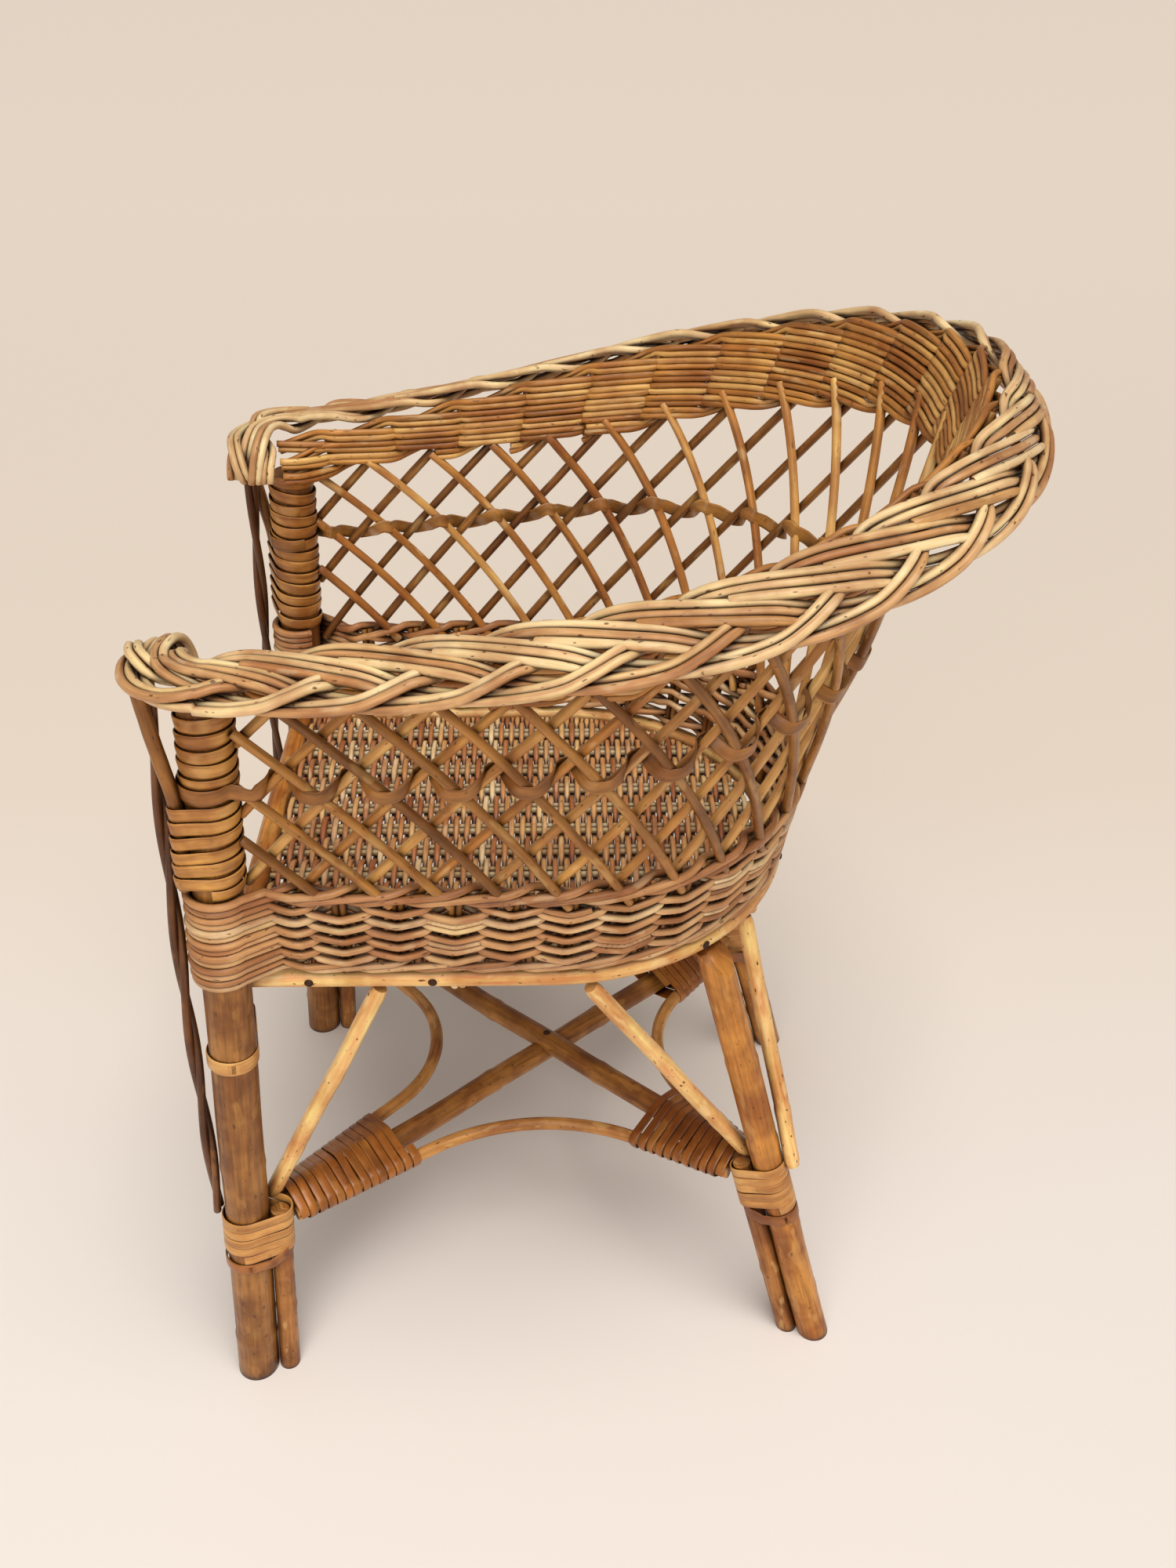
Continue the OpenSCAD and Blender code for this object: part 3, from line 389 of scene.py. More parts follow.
# Willow stick with its bark on: brown with pale lens-shaped patches
finish("barkedStick", ("#9a622e", "#b17638", "#c28a4a"), "#8f5826", "#d9ac6c", "#45220c",
       poleLook, {"grain": 0.65, "patches": 0.45, "flecks": 0.7, "reach": 0.010, "rough": 0.45, "bump": 0.5,
                  "coat": 0.07})
# Peeled willow of the band: honey to pale gold from rod to rod, satin with age
finish("honeyWillow", ("#9c663c", "#c6925e", "#dfb884", "#b07a4e", "#edcf9e"), "#aa7048", "#f4deb0", "#4e2b12",
       {"places": (0, 0.25, 0.5, 0.75, 1), "patches": 0.2, "flecks": 0.7, "paintedShade": 1.0, "rough": 0.4,
        "coat": 0.07})
# Outer rods of the lattice: brown and golden brown
finish("latticeWillow", ("#7e4e20", "#9a672e", "#b07a3c", "#70451c"), "#8c5826", "#cda868", "#3f2310")
# Willow left dark: deep reddish brown, a little glossy
finish("darkWillow", ("#6a4020", "#845027", "#553218"), "#7a4a28", "#a87038", "#2a150a",
       {"places": (0, 0.5, 1), "grain": 0.5, "flecks": 0.5, "paintedShade": 0.7, "bump": 0.3})
# Inner rods of the lattice and rows under the rim: golden brown, some of them straw-coloured
finish("goldenWillow", ("#a86c30", "#bf8642", "#dcab64", "#985e28"), "#a6662c", "#e4c48c", "#4a290f")
# Rods of the plait: the palest, straw with brown lengths
finish("plaitWillow", ("#b68252", "#d8b280", "#ecd2a0", "#c99a62", "#aa7642"), "#b07a4e", "#f4e2ba", "#4e2b12",
       {"places": (0, 0.3, 0.6, 0.85, 1), "mottle": 0.55, "patches": 0.2, "flecks": 0.8, "paintedShade": 1.0,
        "reach": 0.009, "rough": 0.4, "bump": 0.4, "coat": 0.07})
# Skein of the twisted row: golden brown, satin, with straight fibres
finish("oliveSkein", ("#a27036", "#b88344", "#925f2c"), "#96602c", "#c99a5c", "#4a2a12",
       skeinLook, {"grain": 0.8, "patches": 0.25, "reach": 0.005})
# Skein of the posts' windings: golden brown, satin, with straight fibres
finish("wrapSkein", ("#b67c38", "#c8904a", "#a86c2e"), "#985e24", "#dfb06a", "#4a2610",
       skeinLook, {"grain": 0.85, "mottle": 0.65, "paintedShade": 0.9})
# Seat weavers: willow from russet to straw, dry, rubbed by use
finish("strawWillow", ("#a4653a", "#cb9159", "#e4bc7e", "#b97a4a", "#f0d6a4"), "#b8764a", "#f6e2b6", "#5c3216",
       seatLook, {"places": (0, 0.3, 0.6, 0.8, 1), "mottle": 0.55, "paintedShade": 1.0})
# Seat stakes: peeled willow, cream-coloured
finish("creamWillow", ("#e6c890", "#f3e0b4", "#dab47a"), "#cf9d66", "#f8ecca", "#6e421f",
       seatLook, {"places": (0, 0.5, 1), "grain": 0.5, "flecks": 0.5, "paintedShade": 0.9})
# Split willow strip: light honey with fine straight fibres
finish("paleSkein", ("#c68f4e", "#d4a261", "#bb8243"), "#b87a40", "#e8c488", "#6e421f",
       skeinLook, {"grain": 0.75, "patches": 0.2, "flecks": 0.4, "paintedShade": 0.9, "rough": 0.4, "bump": 0.4,
                   "coat": 0.07})
# Cane strip: reddish golden brown with its own hard glossy skin
finish("glossyCane", ("#8d5220", "#a8682c", "#965824"), "#824818", "#cf9448", "#4a2610",
       skeinLook, {"grain": 0.65, "mottle": 0.6, "patches": 0.2, "flecks": 0.4, "paintedShade": 1.0, "rough": 0.3,
                   "bump": 0.3, "coat": 0.22})
print("materials made")

# poles and sticks

poleShape = {"ring": 4, "uneven": 0.012, "knotLength": 3.2, "grooveUp": 4.5, "grooveLength": 1.6,
             "endLength": 1.2, "endStep": 0.8}


def pole(name, low, high, thick, knots, knotRise=0.4, bend=0.8, footScale=1, sides=32):
    # a cylinder with many rings, swollen at its knots and bent a little along its length
    deselectAll()
    run = high - low
    length = run.length
    bpy.ops.mesh.primitive_cylinder_add(vertices=sides, radius=1, depth=1)
    piece = named(name)
    mode("EDIT")
    bpy.ops.mesh.select_mode(type="EDGE")
    bpy.ops.mesh.select_all(action="DESELECT")
    mode("OBJECT")
    for edge in piece.data.edges:
        a, b = (piece.data.vertices[i].co.z for i in edge.vertices)
        edge.select = abs(a - b) > 0.5
    mode("EDIT")
    bpy.ops.mesh.subdivide(number_cuts=int(length / poleShape["ring"]), quadcorner="STRAIGHT_CUT")
    mode("OBJECT")
    along = run.normalized()
    sideways = along.orthogonal().normalized()
    across = along.cross(sideways)
    seed = draw.random() * 50
    for vertex in piece.data.vertices:
        f = vertex.co.z + 0.5
        d = f * length
        r = thick / 2 * mix(footScale, 1, f)
        for knot in knots:
            # each knot is a low ring with a groove above it
            r += knotRise * math.exp(-((d - knot) / poleShape["knotLength"]) ** 2)
            r -= knotRise * 0.5 * math.exp(-((d - knot - poleShape["grooveUp"]) / poleShape["grooveLength"]) ** 2)
        angle = math.atan2(vertex.co.y, vertex.co.x)
        r *= 1 + poleShape["uneven"] * ripple(math.cos(angle) * 0.8, math.sin(angle) * 0.8, d / 26 + seed)
        if min(d, length - d) < poleShape["endLength"]:
            r -= poleShape["endStep"]
        sway = bend * math.sin(math.pi * f)
        wander = sideways * (sway * ripple(d / 70, seed)) + across * (sway * ripple(d / 70, 0, seed))
        rounded = sideways * (math.cos(angle) * r), across * (math.sin(angle) * r)
        vertex.co = (low + along * d + wander + rounded[0] + rounded[1]) * mm
    uv = piece.data.uv_layers.active.data
    for face in piece.data.polygons:
        spots = [piece.data.vertices[i].co / mm - low for i in face.vertices]
        angles = [math.atan2(spot.dot(across), spot.dot(sideways)) for spot in spots]
        for loop, spot, angle in zip(face.loop_indices, spots, angles):
            # a face across the seam isn't stretched over the whole map
            angle += 2 * math.pi if max(angles) - angle > math.pi else 0
            uv[loop].uv = (spot.dot(along) * mm + seed, angle / 2 * thick * mm)
    bpy.ops.object.shade_smooth_by_angle(angle=math.radians(40))
    return piece


def sawn(piece, place, facing):
    # what lies beyond a plane through place is sawn off
    deselectAll()
    bpy.context.view_layer.objects.active = piece
    piece.select_set(True)
    mode("EDIT")
    selectAll()
    bpy.ops.mesh.bisect(plane_co=place, plane_no=facing, clear_outer=True, use_fill=True)
    closeEdit()
    return piece


foot = {"below": -10, "stick": 11.2, "room": 11.4, "top": 124}
stickShift = {"front": Vector((-1.5, (post["thick"] + foot["room"]) / 2 + 0.3, 0)),
              "rear": Vector((-3, -(leg["thick"] + foot["room"]) / 2
                              * Vector((leg["splayX"], leg["splayY"], 1)).length, 0))}


def standing(name, at, top, side, *shape):
    # a pole that starts below the floor and is sawn off level with it
    low, high = (both(at(z), side) for z in (foot["below"], top))
    return sawn(pole(name + sideNames[side], low, high, *shape), (0, 0, 0), (0, 0, -1))


for side, sideName in sideNames.items():
    frontPost = standing("frontPost_", postAt, post["top"], side, post["thick"], [40, 172, 296], 0.5, 1.2, 0.98)
    placed(frontPost, "chestnutPole", "rattan_pole", "front_post_" + sideName)
    rearLeg = standing("rearLeg_", legAt, leg["top"], side, leg["thick"], [46, 98, 158, 214], 0.4, 1.0)
    # its top is bevelled towards the outside, clear of the hoop's edge
    bevelFacing = Vector((0.6 * cosD(leg["angle"]), 0.6 * sinD(leg["angle"]), 0.8))
    sawn(rearLeg, both(onHoop(leg["angle"], leg["top"] - 3, 5), side) * mm, both(bevelFacing, side))
    placed(rearLeg, "varnishedPole", "rattan_pole", "rear_leg_" + sideName)
    for place, at in (("front", postAt), ("rear", legAt)):
        stick = standing("footStick_%s_" % place, lambda z: at(z) + stickShift[place], foot["top"], side,
                         foot["stick"], [60])
        placed(stick, "barkedStick", "bark_stick", "foot_stick_%s_%s" % (place, sideName))
print("posts, legs and foot sticks made")

# stretcher: two crossed bars, and four bows that join them
bar = {"z": 113, "thick": 13, "step": 6, "bow": 7.4, "gap": 64, "endGap": 67, "spread": 20,
       "frontEnd": 15, "rearEnd": 13}
bowBeside = (bar["thick"] + bar["bow"]) / 2 + 0.3
frontCorner, rearCorner = postAt(bar["z"]), legAt(bar["z"])
share = frontCorner.x / (frontCorner.x + rearCorner.x)
crossing = frontCorner + (flip(rearCorner) - frontCorner) * share
barRun = (frontCorner - crossing).normalized()
slant = math.degrees(math.atan2(-barRun.y, barRun.x))
frontReach = (frontCorner - crossing).length - 24.5
rearReach = (flip(rearCorner) - crossing).length - 23

for level, side, lift in (("Upper", -1, bar["step"] / 2), ("Lower", 1, -bar["step"] / 2)):
    a, b = both(frontCorner, side), both(rearCorner, -side)
    run = (b - a).normalized()
    up = Vector((0, 0, lift))
    placed(pole("crossBar" + level, a + run * bar["frontEnd"] + up, b - run * bar["rearEnd"] + up, bar["thick"],
                [62, 150, 235], 0.5, 1.0), "chestnutPole", "rattan_pole", "cross_bar_" + level.lower())


def bowTip(wedge, reach, side):
    return Vector((cosD(wedge) * reach + sinD(wedge) * bowBeside,
                   side * (sinD(wedge) * reach - cosD(wedge) * bowBeside), 0))


def bowArc(wedge, nearest):
    # radius and centre of a bow's round part, which comes nearest to the crossing in its middle
    r = (nearest - bar["spread"] / sinD(wedge)) * sinD(wedge) / (1 - sinD(wedge))
    return r, Vector((nearest + r, 0, 0))


def arcEnd(r, centre, tip):
    # the angle at which the round part ends and the straight part to the tip starts
    v = tip - centre
    return abs(math.degrees(math.atan2(v.y, v.x))) + math.degrees(math.acos(r / v.length))


def bowLine(wedge, nearest, reachLow, reachHigh, turn):
    r, centre = bowArc(wedge, nearest)
    highTip, lowTip = bowTip(wedge, reachHigh, 1), bowTip(wedge, reachLow, -1)
    high, low = arcEnd(r, centre, highTip), 360 - arcEnd(r, centre, lowTip)
    arc = [centre + heading(a) * r for a in spread(high, low, 14)]
    points = ([highTip] + [highTip.lerp(arc[0], f) for f in (0.35, 0.7)] + arc
              + [arc[-1].lerp(lowTip, f) for f in (0.35, 0.7, 1)])
    spin = Matrix.Rotation(math.radians(turn), 3, "Z")
    return [crossing + spin @ p for p in points]


def bowGapAt(d, wedge, nearest, reach):
    # how far a bow lies from the bar's axis, at a distance d from the crossing
    r, centre = bowArc(wedge, nearest)
    start = centre + heading(arcEnd(r, centre, bowTip(wedge, reach, 1))) * r
    along, gap = start.x * cosD(wedge) + start.y * sinD(wedge), start.x * sinD(wedge) - start.y * cosD(wedge)
    if d > along:
        return mix(gap, bowBeside, (d - along) / (reach - along))
    return (nearest + r) * sinD(wedge) - math.sqrt(r * r - ((nearest + r) * cosD(wedge) - d) ** 2)


def barkRod(name, points, r, slotName, nodeName, finishName="barkedStick", sides=16):
    placed(rods(name, [(points, wavy(r, draw.random() * 40))], sides, 3.5), finishName, slotName, nodeName)


sideBow = bowLine(slant, bar["gap"], frontReach, rearReach, 0)
for name, points in (("bow_left", sideBow), ("bow_right", [flip(p) for p in sideBow]),
                     ("bow_front", bowLine(90 - slant, bar["endGap"], frontReach, frontReach, -90)),
                     ("bow_back", bowLine(90 - slant, bar["endGap"], rearReach, rearReach, 90))):
    barkRod(name, points, bar["bow"] / 2, "bark_stick", name)
print("stretcher made")

# windings of flat strip

outlineSteps = 180


def evenOutline(sticks, count):
    # points at even distances along the outline round sticks lying side by side, each with its outward angle
    loop = []
    for i in range(outlineSteps):
        a = 360 * i / outlineSteps
        x, y, r = max(sticks, key=lambda s: s[0] * cosD(a) + s[1] * sinD(a) + s[2])
        loop.append((Vector((x + r * cosD(a), y + r * sinD(a))), a))
    loop.append(loop[0])
    marks = runLengths([spot for spot, _ in loop])
    out = []
    k = 0
    for i in range(count):
        want = marks[-1] * i / count
        while marks[k + 1] < want:
            k += 1
        f = (want - marks[k]) / max(1e-9, marks[k + 1] - marks[k])
        a, b = loop[k], loop[k + 1]
        turnTo = b[1] if b[1] >= a[1] else b[1] + 360
        out.append((a[0].lerp(b[0], f), mix(a[1], turnTo, f)))
    return out


def endOn(v, axes): return v.dot(axes[1]), v.dot(axes[2])


def axisFrame(at):
    along = (at(1) - at(0)).normalized()
    x = (Vector((1, 0, 0)) - along * along.x).normalized()
    return along, x, along.cross(x)


def wound(sticksAt, turns, pitch, centreAt, axes, start, perTurn, wobble):
    # a line of turns round sticks: centreAt(d) is the middle at a distance d along the winding
    x, y = axes[1:]
    points, ups = [], []
    seed = draw.random() * 90
    for i in range(int(turns * perTurn) + 1):
        d = start + pitch * i / perTurn
        p, angle = evenOutline(sticksAt(d), perTurn)[i % perTurn]
        drift = wobble * ripple(i / perTurn * 2.3, seed)
        points.append(centreAt(d + drift) + x * p.x + y * p.y)
        ups.append(x * cosD(angle) + y * sinD(angle))
    return points, ups


def strap(sticks, centre, axes): return wound(lambda d: sticks, 1.06, 0.0, lambda d: centre, axes, 0, 60, 0)


def wrapped(name, nodeName, side, line, size, finishName, slotName):
    # a winding is laid out on the left and mirrored for the right
    if side < 0:
        line = [[flip(v) for v in part] for part in line]
    nodes = [nodeName + sideNames[side]] if nodeName else []
    placed(strips(name + sideNames[side], [line], size), finishName, slotName, *nodes)


skein = {"width": 7.0, "thick": 1.0, "pitch": 7.2, "low": 338.5, "high": 432.5, "stickTop": 384,
         "stickX": 8.0, "stickY": -12.6, "stickR": 3.3, "clear": 0.9, "tilt": 0.16}
binding = {"width": 5.6, "thick": 1.0, "pitch": 6.0, "turns": 5, "top": 127.0, "clear": 0.75}
legStrap = {"width": 7.0, "thick": 0.9, "below": 4, "slope": 0.7, "bar": 8, "barR": 5}


def postSticks(d):
    # the lower turns take in the end of the arm's stick as well
    share = clamp((skein["stickTop"] - d) / 2.5, 0, 1)
    return [(0, 0, post["thick"] / 2 + skein["clear"]),
            (skein["stickX"] * share, skein["stickY"] * share, skein["stickR"] + skein["clear"])]


for side in sideNames:
    # skein round the top of a post, its turns slanting this way and that
    axes = axisFrame(postAt)
    turns = (skein["high"] - skein["low"]) / skein["pitch"] - 0.4
    points, ups = wound(postSticks, turns, skein["pitch"], postAt, axes, skein["low"], 40, 2.2)
    ups = [(u - axes[0] * skein["tilt"]).normalized() for u in ups]
    wrapped("postWrap_", "post_wrap_", side, (points, ups), skein, "wrapSkein", "pale_skein")
    for place, at, thick, turns, barSide in (("front", postAt, post["thick"], binding["turns"], 0.9),
                                             ("rear", legAt, leg["thick"], 5.6, -0.9)):
        axes = axisFrame(at)
        sticks = [(0, 0, thick / 2 + binding["clear"]),
                  (*endOn(stickShift[place], axes), foot["room"] / 2 + binding["clear"])]
        length = binding["pitch"] * binding["turns"]
        pitch, low = length / turns, binding["top"] - length
        line = wound(lambda d: sticks, turns - 0.4, pitch, at, axes, low + pitch / 2, 40, 1.0)
        wrapped("legBinding_%s_" % place, "leg_binding_%s_" % place, side, line, binding, "paleSkein",
                "pale_skein")
        # a broader strap below it, which rises to hold the bar's end as well
        towards = Vector((-1, barSide, 0)).normalized()
        sticks = sticks + [(*endOn(towards * (thick / 2 + legStrap["bar"]), axes), legStrap["barR"])]
        centre = at(low - legStrap["below"])
        points, ups = strap(sticks, centre, axes)
        edge = (thick / 2 + 1) * 0.3
        points = [p + Vector((0, 0, legStrap["slope"] * max(0, (p - centre).dot(towards) - edge))) for p in points]
        wrapped("legStrap_%s_" % place, None, side, (points, ups), legStrap, "glossyCane", "cane_strip")

cornerWrap = {"pitch": 5.1, "width": 4.9, "thick": 0.9, "clear": 0.9, "start": 2.6}
for side in sideNames:
    for place, reach, length, runY in (("front", frontReach, 72, barRun.y), ("rear", rearReach, 58, -barRun.y)):
        run = Vector((barRun.x, runY, 0))
        towards = Vector((abs(run.y), -math.copysign(1, run.y) * run.x, 0))

        def sticksAt(d):
            r = bar["bow"] / 2 + cornerWrap["clear"]
            return [(0, 0, bar["thick"] / 2 + bar["step"] / 2 + cornerWrap["clear"]),
                    (bowGapAt(reach - d, slant, bar["gap"], reach), 0, r),
                    (-bowGapAt(reach - d, 90 - slant, bar["endGap"], reach), 0, r)]

        line = wound(sticksAt, (length - 5) / cornerWrap["pitch"], cornerWrap["pitch"],
                     lambda d: crossing + run * (reach - d), (-run, towards, Vector((0, 0, 1))),
                     cornerWrap["start"], 36, 0.9)
        wrapped("cornerWrap_%s_" % place, "corner_wrap_%s_" % place, side, line, cornerWrap, "glossyCane",
                "cane_strip")
print("windings made")

# braces
brace = {"thick": 8.6, "low": 128, "top": 267.5, "frontTop": 71, "sideTop": 19, "backTop": 56}


def beside(at, turn, thick): return at(brace["low"]) + heading(turn) * ((thick + brace["thick"]) / 2 + 0.6)


for side, sideName in sideNames.items():
    for name, nodeName, low, high in (
            ("frontBrace_", "front_brace_", beside(postAt, 130, post["thick"]),
             Vector((seat["radius"], post["y"] + brace["frontTop"], brace["top"]))),
            ("rearSideBrace_", "rear_side_brace_", beside(legAt, -125, leg["thick"]),
             Vector((seat["radius"], seat["backY"] + brace["sideTop"], brace["top"]))),
            ("rearBackBrace_", "rear_back_brace_", beside(legAt, 75, leg["thick"]),
             onHoop(brace["backTop"], brace["top"]))):
        placed(pole(name + sideName, both(low, side), both(high, side), brace["thick"], [34, 92], 0.35, 1.2, sides=20),
               "goldenPole", "bark_stick", nodeName + sideName)
print("braces made")

# seat hoop, rails and apron
seatRods = {"step": 4, "hoopFront": 6.5, "under": 106, "underR": 3, "underFront": 9.4, "underZ": 266.2, "rail": 116}


def seatLine(r, frontY, z):
    # along the left, round the back and along the right
    backY = seat["backY"]
    count, turns = int((backY - frontY) / seatRods["step"]), int(math.pi * r / seatRods["step"])
    return ([Vector((r, y, z)) for y in spread(frontY, backY, count)[:-1]]
            + [Vector((r * math.cos(a), backY + r * math.sin(a), z)) for a in spread(0, math.pi, turns)]
            + [Vector((-r, y, z)) for y in spread(backY, frontY, count)[1:]])


barkRod("seatHoop", seatLine(seat["radius"], post["y"] + seatRods["hoopFront"], seat["height"]), seat["hoop"] / 2,
        "rattan_pole", "seat_hoop", "goldenPole", 20)
barkRod("underSeatRod", seatLine(seatRods["under"], post["y"] + seatRods["underFront"], seatRods["underZ"]),
        seatRods["underR"], "bark_stick", "under_seat_rod")
railEnd = Vector((seatRods["rail"], post["y"], seat["height"]))
placed(pole("frontRail", railEnd, flip(railEnd), seat["rail"], [70, 160]), "varnishedPole", "rattan_pole", "front_rail")

apronStrap = {"width": 8, "thick": 0.9}
apron = {"thick": 4.6, "count": 4, "r": 26, "tail": 10, "clear": 0.3}
apronX = postAt(seat["height"]).x - post["thick"] / 2 - 0.6 - apron["thick"] / 2 - apron["r"]
apronZ = seat["height"] - seat["rail"] / 2 - apron["clear"] - apron["thick"] / 2 - apron["r"]
lines = []
for i in range(apron["count"]):
    r = apron["r"] - i * (apron["thick"] + apron["clear"])
    places = [(apronX + r, apronZ - apron["tail"]), (apronX + r, apronZ - 3)]
    places += [(apronX + r * cosD(a), apronZ + r * sinD(a)) for a in range(0, 91, 10)]
    half = [Vector((x, post["y"], z)) for x, z in places + [(40, apronZ + r), (0, apronZ + r)]]
    lines.append((half + [flip(p) for p in half[::-1]][1:], apron["thick"] / 2))
placed(rods("apronRods", lines, 12, 4), "darkWillow", "dark_willow", "apron_rods")
for side in sideNames:
    centre = postAt(apronZ - apron["tail"] / 2)
    inner = apronX + apron["r"] - (apron["count"] - 1) * (apron["thick"] + apron["clear"])
    sticks = [(0, 0, post["thick"] / 2 + binding["clear"]),
              (inner - centre.x, post["y"] - centre.y, apron["thick"] / 2 + binding["clear"])]
    wrapped("apronStrap_", "apron_strap_", side, strap(sticks, centre, axisFrame(postAt)), apronStrap,
            "paleSkein", "pale_skein")
print("seat frame and apron made")

# woven seat
weave = {"stakeR": 1.8, "beside": 2.0, "stakePitch": 19.3, "pairs": 5, "weaverR": 1.45, "pitch": 3.0, "lift": 3.1,
         "step": 2.4}
seatIn = seat["radius"] - seat["hoop"] / 2 - 0.3
seatFront = post["y"] + seat["rail"] / 2 + 0.3
lines = []
for i in range(-weave["pairs"], weave["pairs"] + 1):
    for s in (-1, 1):
        x = i * weave["stakePitch"] + s * weave["beside"]
        back = seat["backY"] + math.sqrt(seatIn ** 2 - (abs(x) + 2) ** 2)
        points = [Vector((x + 0.25 * ripple(y / 22, x), y, seat["height"] + 0.3 * ripple(x, y / 25, 5)))
                  for y in spread(seatFront, back, 40)]
        lines.append((points, wavy(weave["stakeR"], draw.random() * 60)))
placed(rods("seatStakes", lines), "creamWillow", "seat_willow", "seat_stakes")
lines = []
for i in range(int((seat["backY"] + seatIn - seatFront - weave["pitch"]) / weave["pitch"])):
    y = seatFront + weave["pitch"] * (i + 0.6)
    over = max(0, y + 1.6 - seat["backY"])
    half = math.sqrt(seatIn ** 2 - over ** 2) - 0.4
    start = weave["lift"] if i % 2 else -weave["lift"]
    points = []
    for x in spread(-half, half, max(4, int(2 * half / weave["step"]))):
        lift = start * clamp(1.35 * math.cos(math.pi * x / weave["stakePitch"]), -1, 1)
        edge = clamp((half - abs(x)) / 6, 0, 1)
        points.append(Vector((x, y + 0.35 * ripple(x / 18, y, 3), seat["height"] + lift * edge)))
    lines.append((points, unlike(weave["weaverR"], 1, 0.12)))
placed(rods("seatWeavers", lines), "strawWillow", "seat_willow", "seat_weavers")
print("seat woven")

# lower band
band = {"low": 287.4, "turnPitch": 3.62, "rows": 10, "first": 291.8, "pitch": 3.55, "rise": 8.0, "rodR": 2.05,
        "out": 3.2, "endOut": 4.2, "stakeR": 1.9, "splices": 18, "spliceR": 1.7, "stubs": (2, 8, 13, 18, 21)}
bandWales = ({"z": 284.8, "climb": 2.7, "r": 1.8, "number": 0}, {"z": 330.0, "climb": 3.5, "r": 2.1, "number": 12})
startStep, endStep = 4.5, wall["lastStep"] - 4.5


def latticeStep(k): return lattice["first"] + lattice["step"] * k
def stakeStep(k): return latticeStep(k) + 2
def plateau(v, steep): return math.sin(math.pi / 2 * clamp(steep * v, -1, 1))


def triangle(u):
    # -1 at u = 0, 1 at u = 0.5, with the tips a little rounded
    return -math.asin(0.985 * math.cos(2 * math.pi * u)) / 1.397


def waleSpot(u, front=0.68):
    # height and distance out of a rod that rises in front for a share of its way and comes down behind for
    # the rest; with the usual share it lies over two stakes and behind the third
    u = u % 1
    if u < front:
        return mix(-1, 1, u / front), plateau(math.sin(math.pi * u / front), 1.7)
    f = (u - front) / (1 - front)
    return mix(1, -1, f), -plateau(math.sin(math.pi * f), 1.4)


def aroundPost(z, side, grow, r):
    # from the inner side of a post round its front to where the row meets the wall
    axis = both(postAt(z), side)
    return [axis + both(heading(a), side) * (post["thick"] / 2 + grow + r) for a in range(-212, 62, 12)]


def wallRow(spotAt, first=startStep, last=endStep, step=1.1):
    # spotAt(t) gives the row's height and its distance out
    return [onWall(t, *spotAt(t)) for t in spread(first, last, int((last - first) / step))]


def bandRow(number, spotAt, r):
    # a row of the band, which ends in a turn round each post
    level = band["low"] + band["turnPitch"] * number
    grow = 0.4 + 0.5 * (number % 2)
    ends = [aroundPost(level + 0.3 * draw.random(), side, grow, r) for side in sideNames]

    def settled(t):
        share = clamp((stepsFromArm(t) - startStep) / 5, 0, 1)
        z, out = spotAt(t)
        return mix(level, z, share), mix(band["endOut"], out, share)

    return ends[0] + wallRow(settled) + ends[1][::-1]


# stakes in pairs, one pair at each step of the lattice
lines = [([onWall(stakeStep(k) + s, z, 0) for z in (271, 290, 312, 331)], band["stakeR"])
         for k in range(23) for s in (-0.85, 0.85)]
placed(rods("bandStakes", lines, 8, 4), "latticeWillow", "wall_willow")
# cut ends of some pairs show under the hoop
lines = [([onWall(stakeStep(k) + s, z, -7.3) for z in (271.5, 267, 262.5 - 1.5 * draw.random())], band["stakeR"])
         for k in band["stubs"] for s in (-0.95, 0.95)]
placed(rods("stakeEnds", lines, 8, 4), "creamWillow", "wall_willow")


def bandSpot(t, i):
    # a row passes in front of one pair of stakes and behind the next, low in front and high behind
    u = (t - latticeStep(0) - 2) / (2 * lattice["step"]) + 0.5 * (i % 2)
    z = band["first"] + i * band["pitch"] + band["rise"] / 2 * triangle(u) + 0.6 * ripple(u * 3, i)
    return z, band["out"] * plateau(math.cos(2 * math.pi * u) + 0.35, 1.7)


def spliceSpot(t, i):
    z, out = bandSpot(t, i)
    return z + 3.45, out * 0.95


lines = [(bandRow(i + 2, lambda t: bandSpot(t, i), band["rodR"]), unlike(band["rodR"], 0.92, 0.18))
         for i in range(band["rows"])]
# new rods laid in beside old ones, with their cut ends showing in front
for n in range(band["splices"]):
    i = draw.randrange(1, band["rows"] - 1)
    middle = stakeStep(0) + 2 * lattice["step"] * (draw.randrange(1, 11) - 0.5 * (i % 2))
    first, last = middle - 0.42 * 2 * lattice["step"], middle + (0.04 + 0.24 * draw.random()) * 2 * lattice["step"]
    lines.append((wallRow(lambda t: spliceSpot(t, i), first, last), band["spliceR"]))
# three rods laid as a rope-like row below and above
for wale in bandWales:
    for k in range(3):
        def spotAt(t):
            rise, out = waleSpot((t - latticeStep(0) + 9) / (3 * lattice["step"]) + k / 3)
            return wale["z"] + wale["climb"] * rise, 3.3 * out

        points = bandRow(wale["number"] + k, spotAt, wale["r"]) if k < 2 else wallRow(spotAt)
        lines.append((points, wavy(wale["r"], draw.random() * 60, 0.1)))
placed(rods("bandRows", lines), "honeyWillow", "wall_willow", "band_rows_1", "band_rows_2", "band_rows_3",
       "band_rows_4", "band_rows_5", "band_turns_left", "band_turns_right")
print("lower band woven")

# lattice
rows = {"pitch": 6.7, "height": 6.4, "front": 3, "back": 6, "growth": 60, "climb": 3.8, "rodR": 1.85, "beside": 1.6,
        "out": 2.6, "stakeR": 1.9, "inwards": (0, 9, 13.5, 0, 0, 0)}
latticeLow = wall["bandTop"] + 0.3 + 2.25 - 0.8


